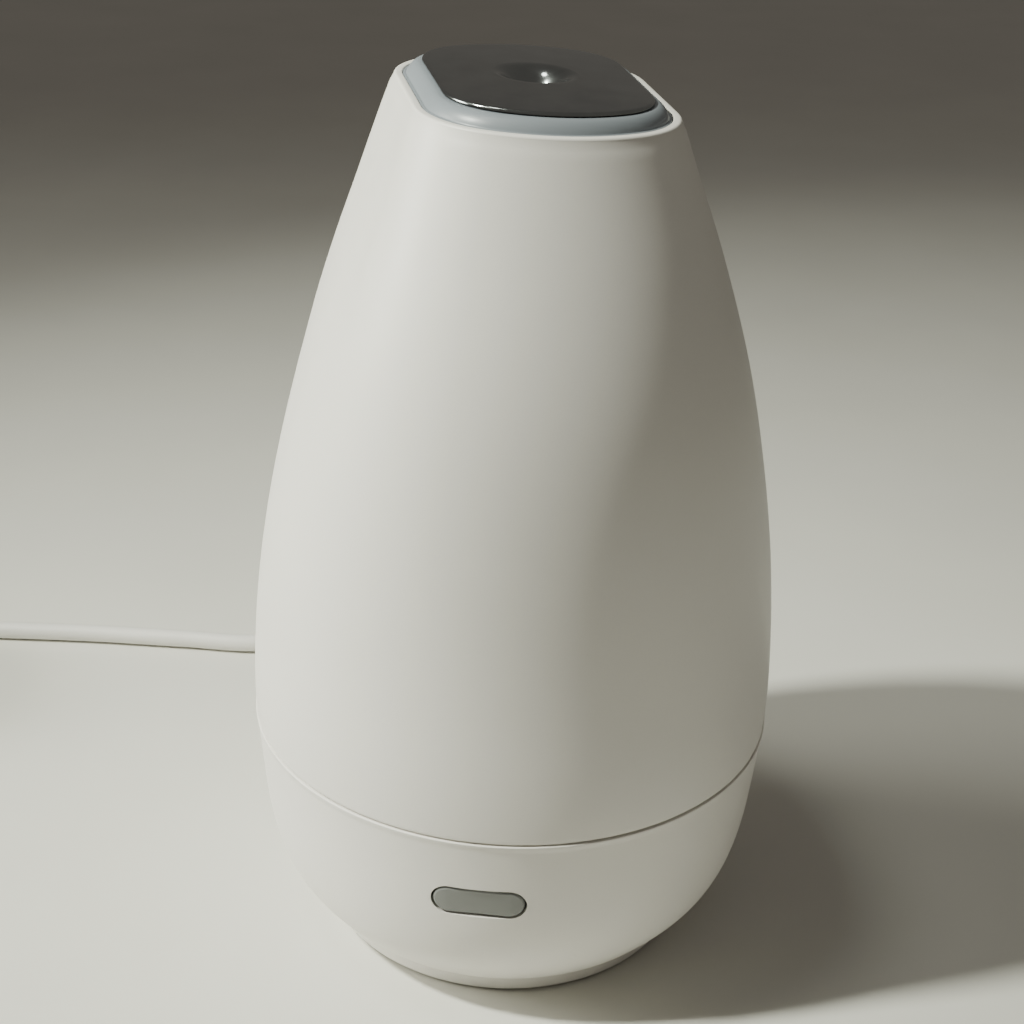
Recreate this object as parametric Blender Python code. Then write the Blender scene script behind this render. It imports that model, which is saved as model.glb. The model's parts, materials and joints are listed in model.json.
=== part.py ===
"""Cool mist humidifier: an egg-shaped tank on a bowl-shaped base, with a mirror outlet plate in its lid.

Lengths are in millimetres and become metres in make_mesh. +Z is up, the origin is on the table under the
middle of the base, and the power button faces -Y.
"""

import math

import bmesh
import bpy
import numpy as np
from mathutils import Matrix, Vector

MM = 0.001
GAP = 0.3

# Driving dimensions of the body
MAX_RADIUS = 82.4
SEAM_Z = 74.3
RIM_Z = 270.8
FOOT_TOP_Z = 9.0
TANK_WALL = 2.2
BASE_WALL = 2.4
BODY_OUTLINE = [  # height, radius as a share of MAX_RADIUS
    (9.0, 0.770),
    (20.0, 0.875),
    (33.0, 0.940),
    (57.0, 0.981),
    (81.0, 1.000),
    (105.0, 0.990),
    (153.0, 0.927),
    (201.0, 0.797),
    (249.0, 0.588),
    (275.0, 0.470),
]

# The top of the tank turns from round to oblong: an arc front and back, a flat on either side
TANK_TURN = math.radians(17.1)
TOP_SLOPE = 0.036
MORPH_START_Z = 105.0
SLOPE_START_Z = 235.0
RIM_HALF_WIDTH = 36.7
RIM_HALF_DEPTH = 48.2
RIM_CORNER = 27.5
RIM_WALL = 2.5
LEDGE_INSET = 5.6
LEDGE_DROP = 5.0
SEAM_GAP = 0.5
RING_TOP = 3.3
PLATE_INSET = 7.7

# Base
FOOT_RADIUS = 59.4
FLOOR_Z = 3.2
FLOOR_THICK = 2.2
LIP_INNER = 50.0
LIP_THICK = 2.2
SCREW_CIRCLE = 54.4
DECK_Z = 67.0
WELL_FLOOR_Z = 46.0
WELL_RADIUS = 24.0
TROUGH_Z = 57.0
TROUGH_RADIUS = 53.0
DECK_WALL = 2.4

# Things that stand in the trough, by their distance from the middle
DUCT_X = -38.5
FLOAT_X = 38.5
VALVE_Y = 38.5

# Mist outlet
CHIMNEY_RADIUS = 13.5
CHIMNEY_WALL = 2.0
CHIMNEY_TOP_Z = 250.0
CHIMNEY_FOOT_Z = 62.0
TANK_FLOOR_Z = 78.0
TANK_FLOOR_THICK = 2.4

# Button
BUTTON_Z = 51.4
BUTTON_HALF_WIDTH = 13.8
BUTTON_HALF_HEIGHT = 4.9
BUTTON_SWITCH_Y = -66.0

# Fan
FAN_X = -24.0
FAN_SIZE = 40.0
FAN_Z = 6.2
FAN_DEEP = 10.0
BLADES = 7

# Control board
BOARD_X = 24.0
BOARD_Z = 16.0
BOARD_SIZE = (40.0, 52.0, 1.6)

# Mains lead
CORD_DIAMETER = 7.0
CORD_EXIT = (0.0, 101.0, 24.0)
FLOOR_CLEAR = 0.1
COIL_CENTRE = (-277.0, 79.7)
COIL_TURNS = [43.0, 36.0, 29.0, 32.5, 39.5]
PLUG_Y = 24.0

SEGMENTS = 48


# ---------------------------------------------------------------- helpers


def clear_scene():
    for obj in list(bpy.data.objects):
        bpy.data.objects.remove(obj, do_unlink=True)


def finish(name, colour, roughness, metallic=0.0):
    """A plain Principled material."""
    made = bpy.data.materials.new(name)
    made.use_nodes = True
    shader = made.node_tree.nodes["Principled BSDF"]
    shader.inputs["Base Color"].default_value = (*colour, 1.0)
    shader.inputs["Roughness"].default_value = roughness
    shader.inputs["Metallic"].default_value = metallic
    return made


def frame_at(name, place=(0.0, 0.0, 0.0), turn=(0.0, 0.0, 0.0)):
    """An empty that stands on a joint's axis and carries the pieces that move with it."""
    empty = bpy.data.objects.new(name, None)
    empty.location = Vector(place) * MM
    empty.rotation_euler = turn
    bpy.context.collection.objects.link(empty)
    return empty


def make_mesh(name, points, faces, material=None, parent=None, smooth=35.0):
    mesh = bpy.data.meshes.new(name)
    mesh.from_pydata([Vector(p) * MM for p in points], [], faces)
    work = bmesh.new()
    work.from_mesh(mesh)
    bmesh.ops.recalc_face_normals(work, faces=work.faces)
    work.to_mesh(mesh)
    work.free()
    mesh.shade_smooth()
    mesh.set_sharp_from_angle(angle=math.radians(smooth))
    obj = bpy.data.objects.new(name, mesh)
    bpy.context.collection.objects.link(obj)
    if material:
        mesh.materials.append(material)
    obj.parent = parent
    return obj


def loft(name, loops, material=None, parent=None, ring=False):
    """Skin equal loops of points. A ring joins its last loop to its first; else both ends are capped."""
    count = len(loops[0])
    points = [p for loop in loops for p in loop]
    faces = []
    spans = len(loops) if ring else len(loops) - 1
    for row in range(spans):
        low = row * count
        high = ((row + 1) % len(loops)) * count
        for i in range(count):
            j = (i + 1) % count
            faces.append((low + i, low + j, high + j, high + i))
    if not ring:
        faces.append(tuple(range(count))[::-1])
        faces.append(tuple(range(len(points) - count, len(points))))
    return make_mesh(name, points, faces, material, parent)


def circle(radius, z, count=SEGMENTS, centre=(0.0, 0.0)):
    angles = [2 * math.pi * i / count for i in range(count)]
    return [(centre[0] + radius * math.cos(a), centre[1] + radius * math.sin(a), z) for a in angles]


def turned(name, outline, material=None, parent=None, centre=(0.0, 0.0), count=SEGMENTS, ring=True):
    """Turn a closed outline of (radius, height) pairs round a vertical axis."""
    loops = [circle(r, z, count, centre) for r, z in outline]
    return loft(name, loops, material, parent, ring)


def tube(name, outer, inner, low, high, material, parent=None, centre=(0.0, 0.0), count=24):
    outline = [(outer, low), (outer, high), (inner, high), (inner, low)]
    return turned(name, outline, material, parent, centre, count)


def rod(name, steps, material=None, parent=None, centre=(0.0, 0.0), count=16):
    """A solid turned from (radius, height) steps, capped at both ends."""
    return turned(name, steps, material, parent, centre, count, ring=False)


def block(name, centre, size, material=None, parent=None, bevel=0.0):
    half = [s / 2 for s in size]
    corners = [(-1, -1), (1, -1), (1, 1), (-1, 1)]
    loops = []
    for side in (-1, 1):
        z = centre[2] + side * half[2]
        loops.append([(centre[0] + u * half[0], centre[1] + v * half[1], z) for u, v in corners])
    obj = loft(name, loops, material, parent)
    if bevel:
        rounding = obj.modifiers.new("rounding", "BEVEL")
        rounding.width = bevel * MM
        rounding.segments = 2
    return obj


def boolean(target, tool, operation):
    tool.hide_render = True
    tool.display_type = "WIRE"
    step = target.modifiers.new(tool.name, "BOOLEAN")
    step.operation = operation
    step.object = tool
    step.solver = "EXACT"


def cut(target, *tools):
    for tool in tools:
        boolean(target, tool, "DIFFERENCE")


def weld(target, *tools):
    for tool in tools:
        boolean(target, tool, "UNION")


def cubic(points):
    """A natural cubic through (x, y) points, as a function of x."""
    x = np.array([p[0] for p in points])
    y = np.array([p[1] for p in points])
    gap = np.diff(x)
    count = len(x)
    left = np.eye(count)
    right = np.zeros(count)
    for i in range(1, count - 1):
        left[i, i - 1 : i + 2] = gap[i - 1], 2 * (gap[i - 1] + gap[i]), gap[i]
        right[i] = 6 * ((y[i + 1] - y[i]) / gap[i] - (y[i] - y[i - 1]) / gap[i - 1])
    curve = np.linalg.solve(left, right)

    def value(at):
        i = int(np.clip(np.searchsorted(x, at) - 1, 0, count - 2))
        a = x[i + 1] - at
        b = at - x[i]
        h = gap[i]
        bend = (curve[i] * a**3 + curve[i + 1] * b**3) / (6 * h)
        line = (y[i] / h - curve[i] * h / 6) * a + (y[i + 1] / h - curve[i + 1] * h / 6) * b
        return float(bend + line)

    return value


body_share = cubic(BODY_OUTLINE)


def body_radius(z):
    return MAX_RADIUS * body_share(z)


def ease(value):
    value = min(max(value, 0.0), 1.0)
    return value * value * (3 - 2 * value)


def oblong_radius(angle, half_width, half_depth, corner):
    """Polar radius of a circle of half_depth cut by flats at half_width, its corners rounded."""
    across = abs(math.cos(angle))
    along = abs(math.sin(angle))
    centre_x = half_width - corner
    centre_y = math.sqrt((half_depth - corner) ** 2 - centre_x**2)
    if along * half_width < across * centre_y:
        return half_width / across
    if along * centre_x > across * centre_y:
        return half_depth
    reach = centre_x * across + centre_y * along
    return reach + math.sqrt(reach**2 - centre_x**2 - centre_y**2 + corner**2)


def oblong(inset, z, count=SEGMENTS):
    """The rim's oblong, drawn in by inset, at height z in the lid's own frame."""
    loop = []
    for i in range(count):
        a = 2 * math.pi * i / count
        r = oblong_radius(a, RIM_HALF_WIDTH - inset, RIM_HALF_DEPTH - inset, RIM_CORNER - inset * 0.8)
        loop.append((r * math.cos(a), r * math.sin(a), z))
    return loop


def tank_section(z, inset=0.0):
    """The tank's outline at height z: round below, turning oblong and sloping towards the rim."""
    share = ease((z - MORPH_START_Z) / (RIM_Z - MORPH_START_Z))
    slope = TOP_SLOPE * ease((z - SLOPE_START_Z) / (RIM_Z - 5 - SLOPE_START_Z))
    loop = []
    for i in range(SEGMENTS):
        a = 2 * math.pi * i / SEGMENTS
        stretch = oblong_radius(a, RIM_HALF_WIDTH, RIM_HALF_DEPTH, RIM_CORNER) / body_radius(RIM_Z)
        r = body_radius(z) * (1 - share + share * stretch) - inset
        x = r * math.cos(a)
        loop.append((x, r * math.sin(a), z - slope * x))
    return loop


def rim_section(inset, drop):
    """A loop near the rim, inset from its outer edge and drop below its top."""
    return [(x, y, z - TOP_SLOPE * x) for x, y, z in oblong(inset, RIM_Z - drop)]


def pill(half_width, half_height, place, count=8):
    """A pill-shaped loop in X and Z. place(x, z) gives each point's Y."""
    loop = []
    straight = half_width - half_height
    for side in (1, -1):
        for i in range(count + 1):
            a = math.pi * (i / count - 0.5)
            x = side * (straight + half_height * math.cos(a))
            z = BUTTON_Z + side * half_height * math.sin(a)
            loop.append((x, place(x, z), z))
    return loop


# ---------------------------------------------------------------- materials

WHITE = finish("white_abs", (0.80, 0.78, 0.74), 0.42)
INNER_WHITE = finish("inner_white_abs", (0.74, 0.74, 0.73), 0.5)
BLUE_GREY = finish("blue_grey_abs", (0.26, 0.29, 0.34), 0.35)
MIRROR = finish("mirror_plate", (0.30, 0.31, 0.31), 0.12, 1.0)
GREY = finish("button_grey", (0.36, 0.37, 0.38), 0.45)
CLEAR = finish("smoked_tube", (0.62, 0.66, 0.70), 0.2)
RUBBER = finish("dark_rubber", (0.03, 0.03, 0.03), 0.8)
SILICONE = finish("silicone", (0.62, 0.63, 0.64), 0.6)
STEEL = finish("steel", (0.55, 0.55, 0.55), 0.3, 1.0)
BRASS = finish("plated_disc", (0.75, 0.66, 0.42), 0.25, 1.0)
ALUMINIUM = finish("aluminium", (0.60, 0.61, 0.62), 0.35, 1.0)
BOARD = finish("board_green", (0.02, 0.16, 0.07), 0.4)
BLACK = finish("black_plastic", (0.02, 0.02, 0.02), 0.45)
FERRITE = finish("ferrite", (0.08, 0.08, 0.09), 0.6)
COPPER = finish("copper_wire", (0.60, 0.25, 0.10), 0.35, 1.0)
CAN = finish("capacitor_sleeve", (0.03, 0.05, 0.16), 0.4)
FOAM_FLOAT = finish("float_white", (0.70, 0.71, 0.72), 0.6)
CORD_WHITE = finish("cord_white", (0.76, 0.75, 0.72), 0.5)


# ---------------------------------------------------------------- tank


def make_tank_shell(parent):
    heights = [SEAM_Z + 2.2, 81, 93, 105, 121, 137, 153, 169, 185, 201, 217, 233, 246, 257, 266]
    low = SEAM_Z + SEAM_GAP / 2
    loops = [tank_section(low, TANK_WALL), tank_section(low, 0.8), tank_section(low + 0.7, 0.2)]
    loops += [tank_section(z) for z in heights]
    loops += [rim_section(0.0, 1.2), rim_section(0.3, 0.35), rim_section(0.9, 0.0)]
    loops += [rim_section(RIM_WALL - 0.4, 0.0), rim_section(RIM_WALL, 0.4), rim_section(RIM_WALL, LEDGE_DROP)]
    loops += [rim_section(LEDGE_INSET, LEDGE_DROP), rim_section(LEDGE_INSET, LEDGE_DROP + 2.4)]
    loops += [tank_section(z, TANK_WALL) for z in (254, 233, 209, 185, 161, 137, 113, 93, 81)]
    return loft("tank_shell", loops, WHITE, parent, ring=True)


def make_tank_floor():
    outer = body_radius(TANK_FLOOR_Z) - TANK_WALL - 0.6
    top = TANK_FLOOR_Z + TANK_FLOOR_THICK
    outline = [(CHIMNEY_RADIUS + GAP, TANK_FLOOR_Z), (outer, TANK_FLOOR_Z), (outer, top + 5)]
    outline += [(outer - 2, top + 5), (outer - 2, top), (CHIMNEY_RADIUS + GAP, top)]
    tank_floor = turned("tank_floor", outline, INNER_WHITE, count=36)
    cut(tank_floor, rod("valve_opening", [(15.4, 70), (15.4, 90)], centre=(0, VALVE_Y), count=24))
    return tank_floor


def make_chimney():
    inner = CHIMNEY_RADIUS - CHIMNEY_WALL
    flange = TANK_FLOOR_Z + TANK_FLOOR_THICK + GAP
    outline = [(CHIMNEY_RADIUS, CHIMNEY_FOOT_Z), (CHIMNEY_RADIUS, flange), (17.5, flange), (17.5, flange + 1.8)]
    outline += [(CHIMNEY_RADIUS, flange + 1.8), (CHIMNEY_RADIUS, CHIMNEY_TOP_Z), (inner, CHIMNEY_TOP_Z)]
    outline += [(inner, CHIMNEY_FOOT_Z)]
    return turned("mist_chimney", outline, CLEAR, count=24)


def make_valve_cap():
    """The cap that screws into the tank floor: a flange, a threaded cup and a seat with flow holes."""
    seat = TANK_FLOOR_Z + 0.6
    outline = [(2.4, seat), (12.8, seat), (12.8, 74.0), (18.0, 74.0), (18.0, 75.8), (15.0, 75.8)]
    outline += [(15.0, 84.0), (12.8, 84.0), (12.8, seat + 2.4), (2.4, seat + 2.4)]
    cap = turned("tank_valve_cap", outline, INNER_WHITE, centre=(0, VALVE_Y), count=24)
    for i in range(4):
        a = math.pi / 4 + i * math.pi / 2
        hole = (5.4 * math.cos(a), VALVE_Y + 5.4 * math.sin(a))
        cut(cap, rod(f"flow_hole_{i + 1}", [(2.1, 70), (2.1, 90)], centre=hole, count=12))
    return cap


def make_valve_gasket():
    return tube("valve_gasket", 17.8, 15.4, 76.1, 77.7, SILICONE, centre=(0, VALVE_Y), count=32)


def make_valve(parent):
    """The stem stands on the base's post and holds the seal above its seat, against the spring."""
    stem = [(2.4, 67.0), (4.6, 67.4), (4.6, 68.8), (1.8, 68.8), (1.8, 84.6), (1.2, 84.6), (1.2, 86.6)]
    stem += [(3.6, 86.6), (3.6, 88.0), (2.6, 88.6)]
    valve_z = 78.0
    local = [(r, z - valve_z) for r, z in stem]
    rod("valve_stem", local, BLACK, parent)
    tube("valve_seal", 8.4, 1.5, 84.8 - valve_z, 86.3 - valve_z, SILICONE, parent)
    make_valve_spring(parent, 69.1 - valve_z, 78.3 - valve_z)


def make_valve_spring(parent, low, high, turns=5, sides=5, steps=10, coil=3.3, wire=0.35):
    """A round-wire spring whose first and last turns are capped."""
    loops = []
    total = turns * steps
    rise = (high - low - 2 * wire) / total
    for i in range(total + 1):
        a = 2 * math.pi * i / steps
        loop = []
        for k in range(sides):
            b = 2 * math.pi * k / sides
            r = coil + wire * math.cos(b)
            loop.append((r * math.cos(a), r * math.sin(a), low + wire + i * rise + wire * math.sin(b)))
        loops.append(loop)
    return loft("valve_spring", loops, STEEL, parent)


# ---------------------------------------------------------------- lid


def make_lid_ring(parent):
    """The blue-grey ring: it drops into the rim and rises in a rounded bevel to the plate."""
    low = -3.3
    edge = RIM_WALL + 0.35
    lip = edge + 0.65
    loops = [oblong(edge, low), oblong(edge, -0.3), oblong(edge + 0.15, -0.1), oblong(lip, -0.1)]
    loops += [oblong(lip + 0.1, 0.9), oblong(lip + 0.5, 1.9), oblong(lip + 1.3, 2.7), oblong(lip + 2.4, 3.15)]
    loops += [oblong(lip + 3.7, RING_TOP), oblong(13.0, RING_TOP), oblong(13.0, low)]
    return loft("lid_ring", loops, BLUE_GREY, parent, ring=True)


def plate_loop(inset, z):
    return oblong(PLATE_INSET + inset, z)


def make_outlet_plate(parent):
    """The mirror plate: a low dome with a funnel in its middle that leads the mist out."""
    dome = 1.0
    under = RING_TOP + GAP
    face = under + 1.0
    shares = [0.985, 0.85, 0.65, 0.45]
    loops = [plate_loop(0.7, under), plate_loop(0.1, under + 0.2), plate_loop(0.0, under + 0.6)]
    loops += [plate_loop(0.15, face - 0.15)]
    for share in shares:
        loops.append([(x * share, y * share, face + dome * (1 - share**2)) for x, y, z in plate_loop(0, 0)])
    crown = face + dome
    funnel = [(10.5, crown - 0.05), (9.3, crown - 0.5), (8.0, crown - 1.5), (6.6, crown - 3.0), (5.6, crown - 4.4)]
    loops += [circle(r, z) for r, z in funnel]
    loops += [circle(5.6, crown - 5.4), circle(6.8, crown - 5.4), circle(9.6, crown - 2.4), circle(12.0, crown - 1.3)]
    loops += [[(x * 0.7, y * 0.7, under + 0.4) for x, y, z in plate_loop(0, 0)]]
    return loft("outlet_plate", loops, MIRROR, parent, ring=True)


def make_lid_tray(parent):
    """The plug under the ring: a plate with a skirt and an upstand that holds the mirror plate."""
    skirt = 6.2
    loops = [circle(9.0, -5.4), circle(9.0, -3.6), oblong(skirt, -3.6), oblong(skirt, -12.0)]
    loops += [oblong(skirt + 1.6, -12.0), oblong(skirt + 1.6, -5.4)]
    return loft("lid_tray", loops, INNER_WHITE, parent, ring=True)


def make_lid(parent):
    make_lid_ring(parent)
    make_outlet_plate(parent)
    make_lid_tray(parent)
    seal = [oblong(3.5, -4.7), oblong(3.5, -3.6), oblong(5.9, -3.6), oblong(5.9, -4.7)]
    loft("lid_seal", seal, SILICONE, parent, ring=True)
    nozzle = [(8.6, -24.0), (8.6, -3.2), (11.0, -3.2), (11.0, -0.8), (7.2, -0.8), (7.2, -24.0)]
    turned("outlet_tube", nozzle, INNER_WHITE, parent, count=32)
    for i, side in enumerate((-1, 1)):
        steps = [(2.2, -3.2), (2.2, RING_TOP + 0.1)]
        rod(f"plate_post_{i + 1}", steps, INNER_WHITE, parent, centre=(0, side * 26.0), count=12)


# ---------------------------------------------------------------- base


def make_base_shell():
    rim = SEAM_Z - SEAM_GAP / 2
    proud = 0.4
    foot = FOOT_TOP_Z + 0.2
    outline = [(LIP_INNER, foot), (body_radius(foot) - 1.2, foot), (body_radius(foot) - 0.2, foot + 0.5)]
    outline += [(body_radius(z), z) for z in (12.0, 16.0, 20.0, 26.0, 33.0, 42.0, 51.0, 60.0, 67.0)]
    outline += [(body_radius(rim - 1.8), rim - 1.8), (body_radius(rim - 0.7) + proud, rim - 0.7)]
    outline += [(body_radius(rim) + proud - 0.5, rim)]
    outline += [(body_radius(rim) - BASE_WALL, rim)]
    outline += [(body_radius(z) - BASE_WALL, z) for z in (67.0, 56.0, 45.0, 33.0, 23.0, 16.0)]
    outline += [(body_radius(foot + LIP_THICK) - BASE_WALL - 1.0, foot + LIP_THICK), (LIP_INNER, foot + LIP_THICK)]
    shell = turned("base_shell", outline, WHITE)
    clear = 0.35
    window = [pill(BUTTON_HALF_WIDTH + clear, BUTTON_HALF_HEIGHT + clear, lambda x, z, y=y: y) for y in (-90, -70)]
    cut(shell, loft("button_window", window))
    cut(shell, cord_hole())
    for i, (x, y) in enumerate(screw_places()):
        cut(shell, rod(f"lip_hole_{i + 1}", [(1.7, 5), (1.7, 15)], centre=(x, y), count=12))
    return shell


def cord_hole():
    hole = rod("cord_hole", [(5.3, 50), (5.3, 90)], count=24)
    hole.rotation_euler = (-math.pi / 2, 0, 0)
    hole.location = Vector((0, 0, CORD_EXIT[2])) * MM
    return hole


def screw_places():
    turns = [math.radians(a) for a in (45, 135, 225, 315)]
    return [(SCREW_CIRCLE * math.cos(a), SCREW_CIRCLE * math.sin(a)) for a in turns]


def make_base_bottom():
    """The bottom cover: a floor, a foot ring that the bowl seems to float on, and posts for the board."""
    top = FOOT_TOP_Z - 0.1
    ring_inner = FOOT_RADIUS - 2.2
    outline = [(1.0, FLOOR_Z), (LIP_INNER + 1.6, FLOOR_Z), (LIP_INNER + 1.6, top - 2.2), (ring_inner, top - 2.2)]
    outline += [(ring_inner, 0.8), (FOOT_RADIUS - 1.6, 0.8), (FOOT_RADIUS - 0.5, 1.1), (FOOT_RADIUS, 2.0)]
    outline += [(FOOT_RADIUS + 0.6, top)]
    outline += [(LIP_INNER - 0.4, top), (LIP_INNER - 0.4, FLOOR_Z + FLOOR_THICK), (1.0, FLOOR_Z + FLOOR_THICK)]
    bottom = turned("base_bottom", outline, WHITE, count=48, ring=False)
    for i, (x, y) in enumerate(screw_places()):
        cut(bottom, rod(f"floor_hole_{i + 1}", [(1.7, 5), (1.7, 15)], centre=(x, y), count=12))
    for i in range(6):
        y = (i - 2.5) * 5.6
        cut(bottom, block(f"air_slot_{i + 1}", (FAN_X, y, 4.0), (28, 2.8, 10)))
    for i, (x, y) in enumerate(board_posts()):
        post = [(2.6, FLOOR_Z + 1), (2.6, BOARD_Z - GAP)]
        weld(bottom, rod(f"board_post_{i + 1}", post, centre=(x, y), count=12))
    return bottom


def board_posts():
    reach_x = BOARD_SIZE[0] / 2 - 3.5
    reach_y = BOARD_SIZE[1] / 2 - 3.5
    return [(BOARD_X + u * reach_x, v * reach_y) for u, v in ((-1, -1), (1, -1), (1, 1), (-1, 1))]


def make_base_screws():
    for i, (x, y) in enumerate(screw_places()):
        steps = [(2.1, 4.9), (2.5, 5.3), (2.5, 6.4), (1.4, 6.4), (1.4, 17.0), (0.6, 18.5)]
        rod(f"base_screw_{i + 1}", steps, STEEL, centre=(x, y), count=12)


def make_feet():
    for i, angle in enumerate((45, 135, 225, 315)):
        a = math.radians(angle)
        centre = (43.0 * math.cos(a), 43.0 * math.sin(a))
        steps = [(5.2, 0.0), (6.0, 0.6), (6.0, FLOOR_Z - GAP)]
        rod(f"rubber_foot_{i + 1}", steps, RUBBER, centre=centre, count=20)


def make_water_basin():
    """The deck: a well over the transducer, a trough round it and a rim that hangs on the bowl."""
    wall = DECK_WALL
    rim = body_radius(DECK_Z) - BASE_WALL - 0.5
    outline = [(9.0, WELL_FLOOR_Z), (12.7, WELL_FLOOR_Z), (12.7, 42.6), (18.0, 42.6), (18.0, WELL_FLOOR_Z)]
    outline += [(WELL_RADIUS + wall, WELL_FLOOR_Z), (WELL_RADIUS + wall, TROUGH_Z)]
    outline += [(TROUGH_RADIUS + wall, TROUGH_Z), (TROUGH_RADIUS + wall, DECK_Z), (rim, DECK_Z)]
    outline += [(rim, DECK_Z + 5.0), (rim - 1.8, DECK_Z + 5.0), (rim - 1.8, DECK_Z + wall)]
    outline += [(TROUGH_RADIUS, DECK_Z + wall), (TROUGH_RADIUS, TROUGH_Z + wall), (WELL_RADIUS, TROUGH_Z + wall)]
    outline += [(WELL_RADIUS, WELL_FLOOR_Z + wall), (9.0, WELL_FLOOR_Z + wall)]
    basin = turned("water_basin", outline, INNER_WHITE, count=36)
    collar = block("collar", (DUCT_X, 0, 61.5), (17.0, 26.0, 8.0))
    weld(basin, collar)
    cut(basin, block("air_port", (DUCT_X, 0, 60.0), (13.0, 22.0, 20.0)))
    weld(basin, rod("valve_post", [(3.0, TROUGH_Z + 1), (2.2, 66.7)], centre=(0, VALVE_Y), count=16))
    weld(basin, rod("float_post", [(2.7, TROUGH_Z + 1), (2.7, 73.6)], centre=(FLOAT_X, 0), count=16))
    cut(basin, rod("reed_bore", [(1.6, TROUGH_Z - 2), (1.6, 71.0)], centre=(FLOAT_X, 0), count=12))
    for i, (x, y) in enumerate(clamp_places()):
        cut(basin, rod(f"clamp_hole_{i + 1}", [(1.2, 41), (1.2, 45.4)], centre=(x, y), count=10))
    return basin


def clamp_places():
    return [(15.4 * math.cos(math.radians(a)), 15.4 * math.sin(math.radians(a))) for a in (30, 150, 270)]


def make_transducer():
    rod("transducer_disc", [(10.0, 43.4), (10.0, 44.6)], BRASS, count=32)
    tube("transducer_seal", 12.4, 10.3, 42.7, 45.7, RUBBER, count=32)
    clamp = tube("transducer_clamp", 18.0, 7.5, 40.6, 42.3, STEEL, count=32)
    for i, (x, y) in enumerate(clamp_places()):
        cut(clamp, rod(f"clamp_slot_{i + 1}", [(1.5, 38), (1.5, 44)], centre=(x, y), count=10))
        steps = [(2.2, 38.7), (2.2, 40.3), (1.0, 40.3), (1.0, 45.0)]
        rod(f"clamp_screw_{i + 1}", steps, STEEL, centre=(x, y), count=10)


def make_float(parent):
    """A ring float on its post. Its magnet works the reed sensor inside the post."""
    tube("float_ring", 9.0, 3.2, 0.0, 7.0, FOAM_FLOAT, parent)


def make_float_sensor():
    rod("reed_sensor", [(1.2, 54.0), (1.2, 69.0)], BLACK, centre=(FLOAT_X, 0), count=10)
    tube("float_stop", 4.6, 3.0, 71.8, 73.4, INNER_WHITE, centre=(FLOAT_X, 0))


def make_button(parent):
    """A pill-shaped cap that follows the bowl, with a flange behind the wall and a stub for the switch."""

    def skin(depth):
        return lambda x, z: -math.sqrt((body_radius(z) - depth) ** 2 - x**2)

    loops = [pill(BUTTON_HALF_WIDTH * 0.35, BUTTON_HALF_HEIGHT * 0.3, skin(0.0))]
    loops += [pill(BUTTON_HALF_WIDTH - 1.4, BUTTON_HALF_HEIGHT - 1.4, skin(0.05))]
    loops += [pill(BUTTON_HALF_WIDTH - 0.5, BUTTON_HALF_HEIGHT - 0.5, skin(0.2))]
    loops += [pill(BUTTON_HALF_WIDTH, BUTTON_HALF_HEIGHT, skin(0.7))]
    loops += [pill(BUTTON_HALF_WIDTH, BUTTON_HALF_HEIGHT, lambda x, z: -75.0)]
    loops += [pill(BUTTON_HALF_WIDTH + 1.6, BUTTON_HALF_HEIGHT + 1.4, lambda x, z: -75.0)]
    loops += [pill(BUTTON_HALF_WIDTH + 1.6, BUTTON_HALF_HEIGHT + 1.4, lambda x, z: -73.6)]
    loops += [pill(3.2, 3.0, lambda x, z: -73.6), pill(3.2, 3.0, lambda x, z: -71.4)]
    local = [[(x, y + MAX_RADIUS, z - BUTTON_Z) for x, y, z in loop] for loop in loops]
    loft("power_button", local, GREY, parent)
    plunger = rod("switch_plunger", [(1.5, 0.0), (1.5, 2.6)], BLACK, parent, count=16)
    plunger.rotation_euler = (-math.pi / 2, 0, 0)
    plunger.location = Vector((0, MAX_RADIUS - 71.1, 0)) * MM


def make_switch():
    y = BUTTON_SWITCH_Y
    block("button_board", (0, y + 0.8, BUTTON_Z), (32.0, 1.6, 20.0), BOARD)
    body = block("tact_switch", (0, y - 1.9, BUTTON_Z), (6.0, 3.2, 6.0), BLACK)
    socket = rod("switch_bore", [(1.7, 0.0), (1.7, 6.0)], count=16)
    socket.rotation_euler = (-math.pi / 2, 0, 0)
    socket.location = Vector((0, y - 7.0, BUTTON_Z)) * MM
    cut(body, socket)


def make_fan():
    low = FAN_Z
    high = FAN_Z + FAN_DEEP
    frame = block("fan_frame", (FAN_X, 0, (low + high) / 2), (FAN_SIZE, FAN_SIZE, FAN_DEEP), BLACK)
    cut(frame, rod("fan_bore", [(18.6, low + 1.6), (18.6, high + 5)], centre=(FAN_X, 0), count=40))
    for i in range(4):
        a = math.pi / 4 + i * math.pi / 2
        place = (FAN_X + 12.0 * math.cos(a), 12.0 * math.sin(a))
        cut(frame, rod(f"fan_window_{i + 1}", [(5.6, low - 3), (5.6, low + 5)], centre=place, count=20))
    corner = FAN_SIZE / 2 - 3.2
    for i, side in enumerate((-1, 1)):
        place = (FAN_X + side * corner, side * corner)
        cut(frame, rod(f"fan_hole_{i + 1}", [(1.7, low - 3), (1.7, high + 3)], centre=place, count=12))
        steps = [(1.3, low + 0.4), (1.3, high + GAP), (2.6, high + GAP), (2.6, high + 1.5)]
        rod(f"fan_screw_{i + 1}", steps, STEEL, centre=place, count=12)
    rod("fan_motor", [(6.0, low + 1.9), (6.0, low + 4.6)], COPPER, centre=(FAN_X, 0), count=24)


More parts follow.
